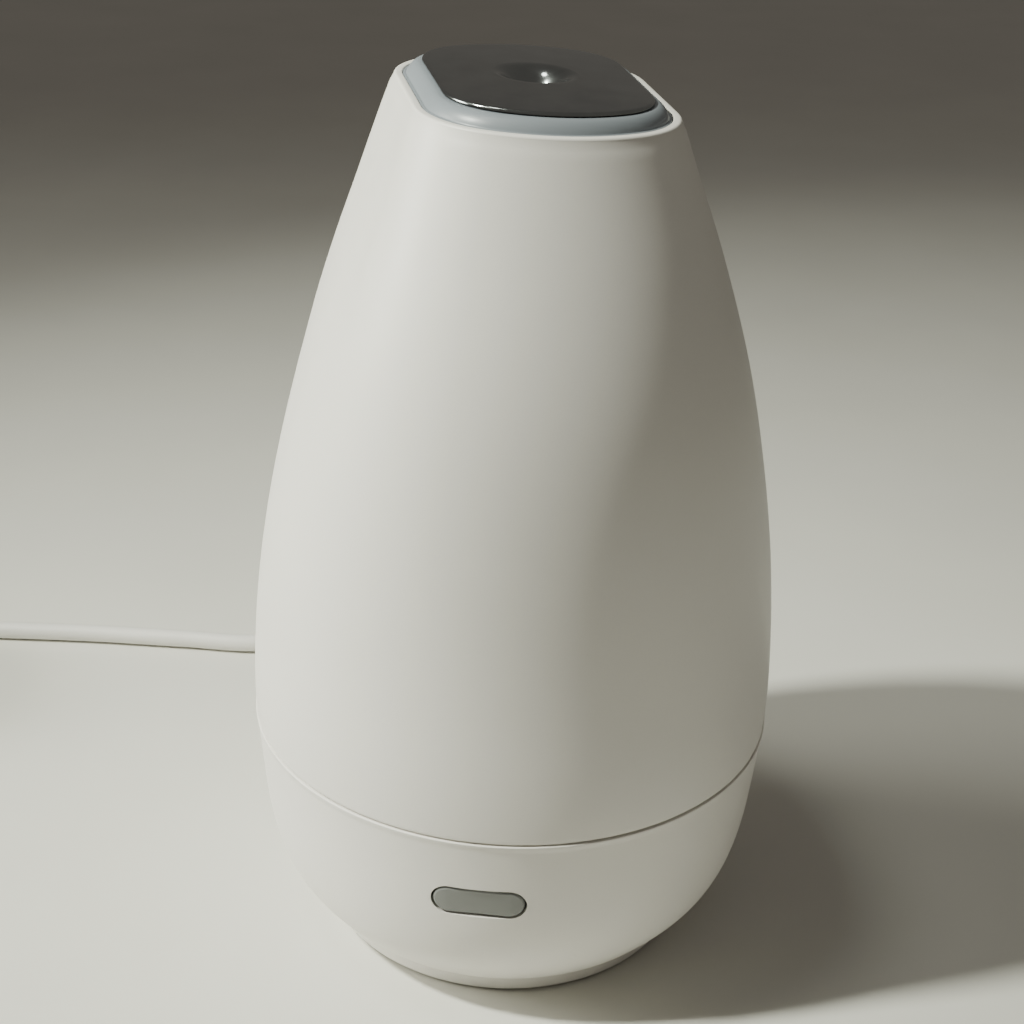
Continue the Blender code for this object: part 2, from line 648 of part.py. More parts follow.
def make_fan_rotor(parent):
    """A hub with swept blades. The outline steps out at each blade and twists as it rises."""
    pitch = 360.0 / BLADES
    marks = [(0.0, 8.2), (1.0, 17.6), (9.0, 17.6), (10.0, 8.2), (28.0, 8.2)]
    loops = []
    for height, twist in ((0.0, 0.0), (1.6, 9.0), (3.2, 18.0), (4.8, 27.0)):
        loop = []
        for blade in range(BLADES):
            for degrees, r in marks:
                a = math.radians(blade * pitch + degrees + twist)
                loop.append((r * math.cos(a), r * math.sin(a), height))
        loops.append(loop)
    return loft("fan_rotor", loops, BLACK, parent)


def make_air_duct():
    """A skewed duct from the square fan to the port in the trough."""

    def square(cx, half_x, half_y, z):
        return [(cx - half_x, -half_y, z), (cx + half_x, -half_y, z), (cx + half_x, half_y, z), (cx - half_x, half_y, z)]

    low = FAN_Z + FAN_DEEP + 2.0
    high = TROUGH_Z - GAP
    wall = 1.6
    loops = [square(FAN_X, 18.6, 18.6, low), square(FAN_X, 18.6, 18.6, low + 6), square(DUCT_X, 8.4, 12.8, 45.0)]
    loops += [square(DUCT_X, 8.4, 12.8, high), square(DUCT_X, 8.4 - wall, 12.8 - wall, high)]
    loops += [square(DUCT_X, 8.4 - wall, 12.8 - wall, 45.0), square(FAN_X, 18.6 - wall, 18.6 - wall, low + 6)]
    loops += [square(FAN_X, 18.6 - wall, 18.6 - wall, low)]
    return loft("air_duct", loops, INNER_WHITE, ring=True)


def make_electronics():
    top = BOARD_Z + BOARD_SIZE[2]
    board = block("control_board", (BOARD_X, 0, BOARD_Z + BOARD_SIZE[2] / 2), BOARD_SIZE, BOARD)
    for i, (x, y) in enumerate(board_posts()[::2]):
        cut(board, rod(f"board_hole_{i + 1}", [(1.6, 10), (1.6, 22)], centre=(x, y), count=12))
        steps = [(1.2, BOARD_Z + 0.1), (1.2, top + GAP), (2.5, top + GAP), (2.5, top + 1.8)]
        rod(f"board_screw_{i + 1}", steps, STEEL, centre=(x, y), count=12)
    clear = top + GAP
    block("transformer_core", (33.0, -14.5, clear + 6.5), (16.0, 13.0, 13.0), FERRITE, bevel=0.8)
    rod("bulk_capacitor", [(5.0, clear), (5.0, clear + 14.0)], CAN, centre=(13.0, -16.0), count=20)
    rod("drive_coil", [(5.2, clear), (5.2, clear + 8.0)], COPPER, centre=(13.0, 17.0), count=20)
    make_heat_sink(clear)


def make_heat_sink(low):
    """A comb of fins on one back plate, drawn as an outline and lifted."""
    fins = 5
    back = 33.0
    front = 17.0
    length = 22.0
    outline = [(back, front - length), (back, front)]
    step = length / (2 * fins - 1)
    for i in range(fins):
        y = front - 2 * i * step
        outline += [(back + 9, y), (back + 9, y - step)]
        if i < fins - 1:
            outline += [(back + 2, y - step), (back + 2, y - 2 * step)]
    outline = outline[::-1]
    loops = [[(x, y, z) for x, y in outline] for z in (low, low + 18.0)]
    return loft("heat_sink", loops, ALUMINIUM)


# ---------------------------------------------------------------- mains lead


def smooth_route(points, spacing):
    """Points a spacing apart along a smooth curve through the route's own points."""
    route = [Vector(p) for p in points]
    route = [2 * route[0] - route[1], *route, 2 * route[-1] - route[-2]]
    dense = []
    for a, b, c, d in zip(route, route[1:], route[2:], route[3:]):
        for i in range(24):
            t = i / 24
            dense.append(
                0.5 * (2 * b + (c - a) * t + (2 * a - 5 * b + 4 * c - d) * t**2 + (3 * b - a - 3 * c + d) * t**3)
            )
    dense.append(route[-2])
    length = sum((q - p).length for p, q in zip(dense, dense[1:]))
    wanted = max(2, round(length / spacing))
    placed = [dense[0]]
    walked = 0.0
    for p, q in zip(dense, dense[1:]):
        walked += (q - p).length
        if walked >= len(placed) * length / wanted and len(placed) < wanted:
            placed.append(q)
    placed.append(dense[-1])
    return placed


def make_cord(name, points):
    curve = bpy.data.curves.new(name, "CURVE")
    curve.dimensions = "3D"
    curve.bevel_depth = CORD_DIAMETER / 2 * MM
    curve.bevel_resolution = 2
    curve.use_fill_caps = True
    spline = curve.splines.new("POLY")
    placed = smooth_route(points, 2.5 * CORD_DIAMETER)
    spline.points.add(len(placed) - 1)
    for point, place in zip(spline.points, placed):
        point.co = (*(place * MM), 1.0)
    curve.materials.append(CORD_WHITE)
    obj = bpy.data.objects.new(name, curve)
    bpy.context.collection.objects.link(obj)
    return obj


def make_strain_relief():
    """A tapered boot on the bowl's back, held by a flange inside the wall."""
    exit_y = CORD_EXIT[1]
    exit_z = CORD_EXIT[2]
    bore = 3.7
    inside = body_radius(exit_z - 6.8) - BASE_WALL - 0.5
    outside = body_radius(exit_z + 6.2) + 0.5
    outline = [(bore, inside - 2.6), (6.8, inside - 2.6), (6.8, inside), (4.9, inside), (4.9, outside)]
    outline += [(6.2, outside), (6.0, outside + 4.0), (4.7, exit_y), (bore, exit_y)]
    boot = turned("strain_relief", outline, CORD_WHITE, count=20)
    boot.rotation_euler = (-math.pi / 2, 0, 0)
    boot.location = Vector((0, 0, CORD_EXIT[2])) * MM
    return boot


def make_mains_lead():
    resting = CORD_DIAMETER / 2 + FLOOR_CLEAR
    coil_x, coil_y = COIL_CENTRE
    outer = COIL_TURNS[0]
    rim = outer + CORD_DIAMETER / 2
    stop = math.sqrt((rim + GAP) ** 2 - (outer - CORD_DIAMETER / 2) ** 2) + 0.3
    route = [
        (0.0, CORD_EXIT[1] + GAP, CORD_EXIT[2]),
        (0.0, 109.0, 23.6),
        (-2.0, 123.0, 18.0),
        (-9.0, 138.0, 10.0),
        (-24.0, 149.0, 4.6),
        (-47.0, 151.0, resting),
        (-82.0, 142.0, resting),
        (-118.0, 131.0, resting),
        (-148.0, 129.5, resting),
        (-188.0, 127.5, resting),
        (-226.0, 124.0, resting),
        (coil_x + stop, coil_y + outer, resting),
    ]
    make_cord("mains_cord", route)
    height = 2 * FLOOR_CLEAR + CORD_DIAMETER * (1 + math.sqrt(3) / 2)
    inner = min(COIL_TURNS) - CORD_DIAMETER / 2
    tube("cord_coil", rim, inner, FLOOR_CLEAR, height, CORD_WHITE, centre=COIL_CENTRE, count=40)
    tail_x = coil_x - COIL_TURNS[-1]
    past = math.sqrt((rim + GAP) ** 2 - (COIL_TURNS[-1] - CORD_DIAMETER / 2) ** 2) + 0.3
    tail = [(tail_x, coil_y - past, 10.0), (tail_x, (coil_y - past + PLUG_Y) / 2, 9.0), (tail_x, PLUG_Y + GAP, 8.0)]
    make_cord("cord_tail", tail)
    make_plug(tail_x)


def make_plug(x):
    """A flat two-blade plug that lies beside the coil."""
    sections = [(0.0, 5.0, 4.2), (-8.0, 6.0, 4.8), (-13.0, 10.5, 7.0), (-34.0, 11.5, 7.6), (-35.0, 10.9, 7.0)]
    centre_z = 8.0
    loops = []
    for along, half_x, half_z in sections:
        loop = []
        for i in range(24):
            a = 2 * math.pi * i / 24
            u = math.copysign(abs(math.cos(a)) ** 0.6, math.cos(a))
            v = math.copysign(abs(math.sin(a)) ** 0.6, math.sin(a))
            loop.append((x + half_x * u, PLUG_Y + along, centre_z + half_z * v))
        loops.append(loop)
    loft("plug_body", loops, CORD_WHITE)
    for i, side in enumerate((-1, 1)):
        place = (x + side * 6.35, PLUG_Y - 35.0 - GAP - 8.5, centre_z)
        block(f"plug_blade_{i + 1}", place, (1.5, 17.0, 6.35), STEEL)


# ---------------------------------------------------------------- assembly


def build():
    clear_scene()
    tank_turned = frame_at("tank_frame", turn=(0, 0, TANK_TURN))
    make_tank_shell(tank_turned)
    make_tank_floor()
    make_chimney()
    make_valve_cap()
    make_valve_gasket()
    make_valve(frame_at("valve_axis", (0, VALVE_Y, 78.0)))
    tilt = Matrix.Rotation(TANK_TURN, 3, "Z") @ Matrix.Rotation(math.atan(TOP_SLOPE), 3, "Y")
    make_lid(frame_at("lid_frame", (0, 0, RIM_Z), tilt.to_euler()))
    make_base_shell()
    make_base_bottom()
    make_base_screws()
    make_feet()
    make_water_basin()
    make_transducer()
    make_float(frame_at("float_axis", (FLOAT_X, 0, TROUGH_Z + DECK_WALL + 0.4)))
    make_float_sensor()
    make_button(frame_at("button_axis", (0, -MAX_RADIUS, BUTTON_Z)))
    make_switch()
    make_fan()
    make_fan_rotor(frame_at("fan_axis", (FAN_X, 0, FAN_Z + 4.9)))
    make_air_duct()
    make_electronics()
    make_strain_relief()
    make_mains_lead()


build()
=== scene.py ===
"""The looks of a cool mist humidifier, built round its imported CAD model.

Lengths are in millimetres, in the CAD model's frame: +Z is up, the origin is on the table under the middle
of the base, and the power button faces -Y. They become metres where a mesh, the cord, a lamp or the camera
is made.
"""

import json
import math

import bmesh
import bpy
import numpy as np
from mathutils import Matrix, Vector


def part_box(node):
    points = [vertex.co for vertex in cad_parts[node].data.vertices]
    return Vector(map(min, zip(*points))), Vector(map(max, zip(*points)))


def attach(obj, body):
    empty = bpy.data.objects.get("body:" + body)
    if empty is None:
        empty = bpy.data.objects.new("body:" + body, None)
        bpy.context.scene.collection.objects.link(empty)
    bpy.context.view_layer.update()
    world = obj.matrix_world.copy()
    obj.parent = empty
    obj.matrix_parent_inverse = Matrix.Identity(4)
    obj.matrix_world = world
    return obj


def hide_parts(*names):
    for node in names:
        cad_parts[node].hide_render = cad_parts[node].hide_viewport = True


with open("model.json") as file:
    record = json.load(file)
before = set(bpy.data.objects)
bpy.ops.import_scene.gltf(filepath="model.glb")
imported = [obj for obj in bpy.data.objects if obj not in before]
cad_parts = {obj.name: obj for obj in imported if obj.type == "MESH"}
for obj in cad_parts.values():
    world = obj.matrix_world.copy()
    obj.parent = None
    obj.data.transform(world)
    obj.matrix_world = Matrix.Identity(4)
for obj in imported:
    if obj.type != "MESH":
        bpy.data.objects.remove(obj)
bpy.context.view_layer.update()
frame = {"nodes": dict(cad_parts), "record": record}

MM = 0.001
GAP = 0.3  # between pieces that are put together

# Driving dimensions, the CAD model's own
MAX_RADIUS = 82.4
SEAM_Z = 74.3
RIM_Z = 270.8
FOOT_TOP_Z = 9.0
TANK_WALL = 2.2
BASE_WALL = 2.4
BODY_OUTLINE = [  # height, radius as a share of MAX_RADIUS
    (9.0, 0.770),
    (20.0, 0.875),
    (33.0, 0.940),
    (57.0, 0.981),
    (81.0, 1.000),
    (105.0, 0.990),
    (153.0, 0.927),
    (201.0, 0.797),
    (249.0, 0.588),
    (275.0, 0.470),
]
TANK_TURN = math.radians(17.1)
TOP_SLOPE = 0.036
MORPH_START_Z = 105.0
SLOPE_START_Z = 235.0
RIM_HALF_WIDTH = 36.7
RIM_HALF_DEPTH = 48.2
RIM_CORNER = 27.5
RIM_WALL = 2.5
LEDGE_INSET = 5.6
LEDGE_DROP = 5.0
SEAM_GAP = 0.5
RING_TOP = 3.3
PLATE_INSET = 7.7
FOOT_RADIUS = 59.4
FLOOR_Z = 3.2
FLOOR_THICK = 2.2
LIP_INNER = 50.0
LIP_THICK = 2.2
SCREW_CIRCLE = 54.4
DECK_Z = 67.0
WELL_FLOOR_Z = 46.0
WELL_RADIUS = 24.0
TROUGH_Z = 57.0
TROUGH_RADIUS = 53.0
DECK_WALL = 2.4
DUCT_X = -38.5
FLOAT_X = 38.5
VALVE_Y = 38.5
CHIMNEY_RADIUS = 13.5
CHIMNEY_WALL = 2.0
CHIMNEY_TOP_Z = 250.0
CHIMNEY_FOOT_Z = 62.0
TANK_FLOOR_Z = 78.0
TANK_FLOOR_THICK = 2.4
BUTTON_Z = 51.4
BUTTON_HALF_WIDTH = 13.8
BUTTON_HALF_HEIGHT = 4.9
FAN_X = -24.0
BOARD_X = 24.0
BOARD_Z = 16.0
BOARD_REACH = (16.5, 22.5)

# Mains lead
CORD_DIAMETER = 7.0
CORD_RESTING_Z = 3.6
CORD_EXIT = (0.0, 101.0, 24.0)
COIL_CENTRE = (-277.0, 79.7)
COIL_TURNS = [43.0, 36.0, 29.0, 32.5, 39.5]
COIL_SHIFT_AT = [155.0, 155.0, 155.0, 20.0]
COIL_SHIFT_OVER = 200.0
PLUG_Y = 24.0
PLUG_Z = 8.0
PLUG_LENGTH = 35.0
PLUG_ROUND = 1.0

SEGMENTS = 192
SHARP_ANGLE = 30.0
CORNER_ANGLES = (45, 135, 225, 315)  # of the feet and the screws that close the base

SLOT_OF = {row["node"]: row["material_slot"] for row in frame["record"]["subparts"]}


# ---------------------------------------------------------------- camera


def make_camera():
    """The view that the object is seen from: the front, about 27 degrees down, and tilted a little."""
    place = Vector((44.3, -497.3, 391.7)) * MM
    aim = Vector((-1.8, -0.2, 140.1)) * MM
    roll = math.radians(2.15)
    sensor_width = 36.0
    focal_pixels = 1800
    picture_pixels = 1024
    data = bpy.data.cameras.new("camera")
    data.sensor_width = sensor_width
    data.lens = sensor_width * focal_pixels / picture_pixels
    camera = bpy.data.objects.new("camera", data)
    turn = (aim - place).to_track_quat("-Z", "Y").to_matrix().to_4x4()
    camera.matrix_world = Matrix.Translation(place) @ turn @ Matrix.Rotation(roll, 4, "Z")
    bpy.context.collection.objects.link(camera)
    bpy.context.scene.camera = camera


make_camera()


# ---------------------------------------------------------------- node helpers


def new_material(name):
    """A material with its node tree and its shader."""
    made = bpy.data.materials.new(name)
    made.use_nodes = True
    return made, made.node_tree, made.node_tree.nodes["Principled BSDF"]


def coordinates(tree, stretch=(1.0, 1.0, 1.0)):
    """Object coordinates in metres, stretched along each axis."""
    source = tree.nodes.new("ShaderNodeTexCoord")
    mapping = tree.nodes.new("ShaderNodeMapping")
    mapping.inputs["Scale"].default_value = stretch
    tree.links.new(source.outputs["Object"], mapping.inputs["Vector"])
    return mapping.outputs["Vector"]


def noise(tree, vector, size, detail=2.0, rough=0.5):
    """Noise whose features are about size millimetres across."""
    made = tree.nodes.new("ShaderNodeTexNoise")
    made.inputs["Scale"].default_value = 1.0 / (size * MM)
    made.inputs["Detail"].default_value = detail
    made.inputs["Roughness"].default_value = rough
    tree.links.new(vector, made.inputs["Vector"])
    return made.outputs["Fac"]


def spread(tree, value, low, high, start=0.3, stop=0.7):
    """value between start and stop becomes a number between low and high."""
    made = tree.nodes.new("ShaderNodeMapRange")
    made.inputs["From Min"].default_value = start
    made.inputs["From Max"].default_value = stop
    made.inputs["To Min"].default_value = low
    made.inputs["To Max"].default_value = high
    tree.links.new(value, made.inputs["Value"])
    return made.outputs["Result"]


def mixed(tree, factor, first, second):
    """A colour between two. The factor and the colours may be plain values or sockets."""
    made = tree.nodes.new("ShaderNodeMix")
    made.data_type = "RGBA"
    sockets = (made.inputs["Factor"], made.inputs[6], made.inputs[7])
    for socket, value in zip(sockets, (factor, first, second)):
        if isinstance(value, tuple):
            socket.default_value = (*value, 1.0)
        elif isinstance(value, float):
            socket.default_value = value
        else:
            tree.links.new(value, socket)
    return made.outputs[2]


def bumped(tree, shader, height, depth):
    """Relief depth millimetres deep."""
    made = tree.nodes.new("ShaderNodeBump")
    made.inputs["Strength"].default_value = 1.0
    made.inputs["Distance"].default_value = depth * MM
    tree.links.new(height, made.inputs["Height"])
    tree.links.new(made.outputs["Normal"], shader.inputs["Normal"])


def shade(colour, share):
    """The colour made darker or lighter."""
    return tuple(min(c * share, 1.0) for c in colour)


# ---------------------------------------------------------------- materials


def moulded(name, colour, rough, grain, depth, uneven):
    """Moulded plastic: a fine spark-eroded grain, and slow drifts of colour and gloss."""
    made, tree, shader = new_material(name)
    vector = coordinates(tree)
    speck_share = 0.3
    slow = noise(tree, vector, 38.0, 3.0)
    fine = noise(tree, vector, grain, 2.0, 0.6)
    handled = noise(tree, vector, 9.0, 4.0, 0.65)
    tone = mixed(tree, spread(tree, slow, 0.0, 1.0), shade(colour, 1 - uneven), shade(colour, 1 + uneven))
    speck = mixed(tree, spread(tree, fine, 0.0, 1.0, 0.25, 0.6), shade(colour, 0.94), shade(colour, 1.01))
    tree.links.new(mixed(tree, speck_share, tone, speck), shader.inputs["Base Color"])
    tree.links.new(spread(tree, handled, rough - 0.035, rough + 0.05), shader.inputs["Roughness"])
    bumped(tree, shader, fine, depth)
    return made


def metal(name, colour, rough, along, grain, depth=0.004):
    """Metal whose finish runs along one axis, with faint scuffs."""
    made, tree, shader = new_material(name)
    brushed = noise(tree, coordinates(tree, along), grain, 4.0, 0.6)
    scuffs = noise(tree, coordinates(tree), 14.0, 5.0, 0.7)
    tone = mixed(tree, spread(tree, scuffs, 0.0, 1.0), shade(colour, 0.88), shade(colour, 1.06))
    tree.links.new(tone, shader.inputs["Base Color"])
    tree.links.new(spread(tree, brushed, rough * 0.8, rough * 1.3), shader.inputs["Roughness"])
    shader.inputs["Metallic"].default_value = 1.0
    bumped(tree, shader, brushed, depth)
    return made


def make_mirror():
    """A dark vacuum-plated plate: nearly a mirror, with a faint haze that water leaves on it."""
    made, tree, shader = new_material("dark_mirror")
    vector = coordinates(tree)
    haze = noise(tree, vector, 11.0, 5.0, 0.65)
    ripple = noise(tree, vector, 16.0, 1.0)
    tone = mixed(tree, spread(tree, haze, 0.0, 1.0), (0.36, 0.385, 0.395), (0.43, 0.455, 0.465))
    tree.links.new(tone, shader.inputs["Base Color"])
    tree.links.new(spread(tree, haze, 0.13, 0.21), shader.inputs["Roughness"])
    shader.inputs["Metallic"].default_value = 1.0
    bumped(tree, shader, ripple, 0.02)
    return made


def make_board():
    """Green solder mask over a grid of copper tracks, with rows of solder pads."""
    made, tree, shader = new_material("solder_mask")
    vector = coordinates(tree)
    track_pitch = 9.0
    pad_pitch = 2.54
    bricks = tree.nodes.new("ShaderNodeTexBrick")
    bricks.inputs["Scale"].default_value = 1.0 / (track_pitch * MM)
    bricks.inputs["Mortar Size"].default_value = 0.035
    bricks.inputs["Color1"].default_value = (0.012, 0.105, 0.045, 1.0)
    bricks.inputs["Color2"].default_value = (0.015, 0.13, 0.055, 1.0)
    bricks.inputs["Mortar"].default_value = (0.035, 0.22, 0.09, 1.0)
    tree.links.new(vector, bricks.inputs["Vector"])
    pads = tree.nodes.new("ShaderNodeTexVoronoi")
    pads.inputs["Scale"].default_value = 1.0 / (pad_pitch * MM)
    pads.inputs["Randomness"].default_value = 0.35
    tree.links.new(vector, pads.inputs["Vector"])
    solder = spread(tree, pads.outputs["Distance"], 1.0, 0.0, 0.10, 0.16)
    rows = spread(tree, noise(tree, vector, 7.0), 0.0, 1.0, 0.52, 0.56)
    both = tree.nodes.new("ShaderNodeMath")
    both.operation = "MULTIPLY"
    tree.links.new(solder, both.inputs[0])
    tree.links.new(rows, both.inputs[1])
    tone = mixed(tree, both.outputs[0], bricks.outputs["Color"], (0.62, 0.62, 0.60))
    tree.links.new(tone, shader.inputs["Base Color"])
    tree.links.new(spread(tree, noise(tree, vector, 3.0), 0.3, 0.45), shader.inputs["Roughness"])
    bumped(tree, shader, bricks.outputs["Fac"], 0.03)
    return made


def make_winding():
    """Enamelled wire wound in tight turns round a vertical axis, with painted shade darkening the grooves
    between the turns.
    """
    made, tree, shader = new_material("enamelled_wire")
    wire = 0.5
    wave_length = 0.314  # of Blender's wave at a scale of 1
    wave = tree.nodes.new("ShaderNodeTexWave")
    wave.bands_direction = "Z"
    wave.inputs["Scale"].default_value = wave_length / (wire * MM)
    wave.inputs["Distortion"].default_value = 0.4
    tree.links.new(coordinates(tree), wave.inputs["Vector"])
    # Painted shade: the dark bands are the shade in the grooves between the turns, painted into the colour;
    # the light bands are the copper's own colour.
    tone = mixed(tree, wave.outputs["Fac"], (0.20, 0.06, 0.02), (0.66, 0.27, 0.10))
    tree.links.new(tone, shader.inputs["Base Color"])
    tree.links.new(spread(tree, wave.outputs["Fac"], 0.45, 0.28, 0.0, 1.0), shader.inputs["Roughness"])
    shader.inputs["Metallic"].default_value = 0.8
    bumped(tree, shader, wave.outputs["Fac"], 0.12)
    return made


def see_through(made, weight):
    """Let part of the light through, as clear plastic and silicone do."""
    shader = made.node_tree.nodes["Principled BSDF"]
    shader.inputs["Transmission Weight"].default_value = weight
    shader.inputs["IOR"].default_value = 1.46
    return made


FINISHES = {
    "white_shell": moulded("white_satin", (0.80, 0.775, 0.735), 0.40, 0.42, 0.010, 0.012),
    "inner_plastic": moulded("inner_white", (0.72, 0.72, 0.71), 0.46, 0.5, 0.008, 0.02),
    "chimney_plastic": see_through(moulded("smoky_tube", (0.62, 0.67, 0.72), 0.18, 2.0, 0.004, 0.03), 0.35),
    "ring_plastic": moulded("blue_grey", (0.225, 0.25, 0.28), 0.36, 0.3, 0.006, 0.02),
    "mirror_plate": make_mirror(),
    "button_grey": moulded("button_grey", (0.205, 0.212, 0.208), 0.42, 0.3, 0.008, 0.03),
    "float_foam": moulded("foamed_white", (0.70, 0.71, 0.72), 0.7, 0.7, 0.05, 0.03),
    "black_plastic": moulded("moulded_black", (0.022, 0.022, 0.023), 0.42, 0.4, 0.012, 0.1),
    "silicone": see_through(moulded("grey_silicone", (0.60, 0.61, 0.62), 0.5, 1.2, 0.01, 0.04), 0.15),
    "dark_rubber": moulded("dark_rubber", (0.028, 0.028, 0.028), 0.72, 0.6, 0.03, 0.12),
    "plated_disc": metal("plated_disc", (0.78, 0.68, 0.44), 0.24, (1.0, 1.0, 1.0), 1.2),
    "steel": metal("zinc_steel", (0.58, 0.58, 0.57), 0.28, (1.0, 1.0, 6.0), 0.9),
    "aluminium": metal("extruded_aluminium", (0.62, 0.63, 0.64), 0.36, (6.0, 6.0, 1.0), 1.6, 0.01),
    "circuit_board": make_board(),
    "ferrite": moulded("sintered_ferrite", (0.075, 0.075, 0.08), 0.62, 0.5, 0.03, 0.1),
    "capacitor_sleeve": moulded("shrunk_sleeve", (0.03, 0.05, 0.16), 0.35, 1.6, 0.02, 0.08),
    "copper_wire": make_winding(),
    "cord_white": moulded("cord_jacket", (0.76, 0.745, 0.715), 0.48, 0.9, 0.02, 0.02),
}


# ---------------------------------------------------------------- shape helpers


def piece(name, points, faces, slot, body, stands_for, matrix, smooth):
    """A mesh piece in place: it rides on a body, takes its slot's finish and stands for CAD nodes."""
    mesh = bpy.data.meshes.new(name)
    mesh.from_pydata([Vector(p) * MM for p in points], [], faces)
    if matrix is not None:
        mesh.transform(matrix)
    obj = bpy.data.objects.new(name, mesh)
    bpy.context.collection.objects.link(obj)
    tidy_mesh(obj, smooth)
    if slot:
        mesh.materials.append(FINISHES[slot])
        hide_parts(*stands_for)
        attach(obj, body)
    return obj


def tidy_mesh(obj, smooth):
    """Turn the faces outwards and shade smoothly, with sharp edges where it bends by more than smooth."""
    work = bmesh.new()
    work.from_mesh(obj.data)
    bmesh.ops.recalc_face_normals(work, faces=work.faces)
    work.to_mesh(obj.data)
    work.free()
    obj.data.shade_smooth()
    obj.data.set_sharp_from_angle(angle=math.radians(smooth))


def loft(name, loops, slot=None, body="base", stands_for=(), matrix=None, ring=False, smooth=SHARP_ANGLE):
    """Skin equal loops of points. A ring joins its last loop to its first; else both ends are capped."""
    count = len(loops[0])
    points = [p for loop in loops for p in loop]
    faces = []
    spans = len(loops) if ring else len(loops) - 1
    for row in range(spans):
        low = row * count
        high = ((row + 1) % len(loops)) * count
        for i in range(count):
            j = (i + 1) % count
            faces.append((low + i, low + j, high + j, high + i))
    if not ring:
        faces.append(tuple(range(count))[::-1])
        faces.append(tuple(range(len(points) - count, len(points))))
    return piece(name, points, faces, slot, body, stands_for, matrix, smooth)


def circle(radius, z, count=SEGMENTS, centre=(0.0, 0.0)):
    """A flat ring of points."""
    angles = [2 * math.pi * i / count for i in range(count)]
    return [(centre[0] + radius * math.cos(a), centre[1] + radius * math.sin(a), z) for a in angles]


def turned(
    name, outline, slot=None, body="base", stands_for=(), centre=(0, 0), count=96, ring=True, matrix=None
):
    """Turn an outline of (radius, height) pairs round a vertical axis."""
    loops = [circle(r, z, count, centre) for r, z in outline]
    return loft(name, loops, slot, body, stands_for, matrix, ring)


def fillet(outline, radius, steps=3, closed=True):
    """The outline with its corners rounded, each by radius or by what its sides leave room for."""
    made = []
    count = len(outline)
    for i, corner in enumerate(outline):
        if not closed and i in (0, count - 1):
            made.append(corner)
            continue
        here = Vector(corner)
        before = Vector(outline[i - 1]) - here
        after = Vector(outline[(i + 1) % count]) - here
        half = before.angle(after) / 2
        if half > math.radians(85):
            made.append(corner)
            continue
        reach = min(radius / math.tan(half), before.length * 0.45, after.length * 0.45)
        start = here + before.normalized() * reach
        stop = here + after.normalized() * reach
        for k in range(steps + 1):
            t = k / steps
            made.append(tuple(start * (1 - t) ** 2 + here * 2 * t * (1 - t) + stop * t**2))
    return made


def post(low, high, radius, centre, count=32):
    """A cutter or a boss: a plain upright rod."""
    return turned("rod", [(radius, low), (radius, high)], centre=centre, count=count, ring=False)


def lying(obj, place):
    """Lay a shape that was turned round Z along +Y, with its zero at place."""
    obj.data.transform(Matrix.Translation(Vector(place) * MM) @ Matrix.Rotation(-math.pi / 2, 4, "X"))
    return obj


def bar(centre, size):
    """A cutter: a plain block."""
    half = [s / 2 for s in size]
    corners = [(-1, -1), (1, -1), (1, 1), (-1, 1)]
    loops = []
    for side in (-1, 1):
        z = centre[2] + side * half[2]
        loops.append([(centre[0] + u * half[0], centre[1] + v * half[1], z) for u, v in corners])
    return loft("bar", loops)


def carve(target, cuts=(), welds=()):
    """Cut and weld helper shapes, which are removed afterwards."""
    finish = target.data.materials[0]
    for operation, tools in (("UNION", welds), ("DIFFERENCE", cuts)):
        for tool in tools:
            step = target.modifiers.new("step", "BOOLEAN")
            step.operation = operation
            step.object = tool
            step.solver = "EXACT"
    graph = bpy.context.evaluated_depsgraph_get()
    mesh = bpy.data.meshes.new_from_object(target.evaluated_get(graph))
    target.modifiers.clear()
    mesh.materials.clear()
    mesh.materials.append(finish)
    mesh.polygons.foreach_set("material_index", [0] * len(mesh.polygons))
    target.data = mesh
    for tool in (*cuts, *welds):
        bpy.data.objects.remove(tool)
    tidy_mesh(target, SHARP_ANGLE)
    return target


def cubic(points):
    """A natural cubic through (x, y) points, as a function of x."""
    x = np.array([p[0] for p in points])
    y = np.array([p[1] for p in points])
    gap = np.diff(x)
    count = len(x)
    left = np.eye(count)
    right = np.zeros(count)
    for i in range(1, count - 1):
        left[i, i - 1 : i + 2] = gap[i - 1], 2 * (gap[i - 1] + gap[i]), gap[i]
        right[i] = 6 * ((y[i + 1] - y[i]) / gap[i] - (y[i] - y[i - 1]) / gap[i - 1])
    curve = np.linalg.solve(left, right)

    def value(at):
        i = int(np.clip(np.searchsorted(x, at) - 1, 0, count - 2))
        a = x[i + 1] - at
        b = at - x[i]
        h = gap[i]
        bend = (curve[i] * a**3 + curve[i + 1] * b**3) / (6 * h)
        line = (y[i] / h - curve[i] * h / 6) * a + (y[i + 1] / h - curve[i + 1] * h / 6) * b
        return float(bend + line)

    return value


body_share = cubic(BODY_OUTLINE)


def body_radius(z):
    """The round body's radius at height z."""
    return MAX_RADIUS * body_share(z)


def ease(value):
    """A smooth step from 0 to 1."""
    value = min(max(value, 0.0), 1.0)
    return value * value * (3 - 2 * value)


def quarter(steps, first=0):
    """Angles from 0 up to a right angle in equal steps, from number first on."""
    return [math.pi / 2 * i / steps for i in range(first, steps + 1)]


def steps_between(low, high, step):
    """Evenly spaced numbers from low to high, about step apart."""
    count = max(1, round(abs(high - low) / step))
    return [low + (high - low) * i / count for i in range(count + 1)]


def oblong_radius(angle, half_width, half_depth, corner):
    """Polar radius of a circle of half_depth cut by flats at half_width, its corners rounded."""
    across = abs(math.cos(angle))
    along = abs(math.sin(angle))
    centre_x = half_width - corner
    centre_y = math.sqrt((half_depth - corner) ** 2 - centre_x**2)
    if along * half_width < across * centre_y:
        return half_width / across
    if along * centre_x > across * centre_y:
        return half_depth
    reach = centre_x * across + centre_y * along
    return reach + math.sqrt(reach**2 - centre_x**2 - centre_y**2 + corner**2)


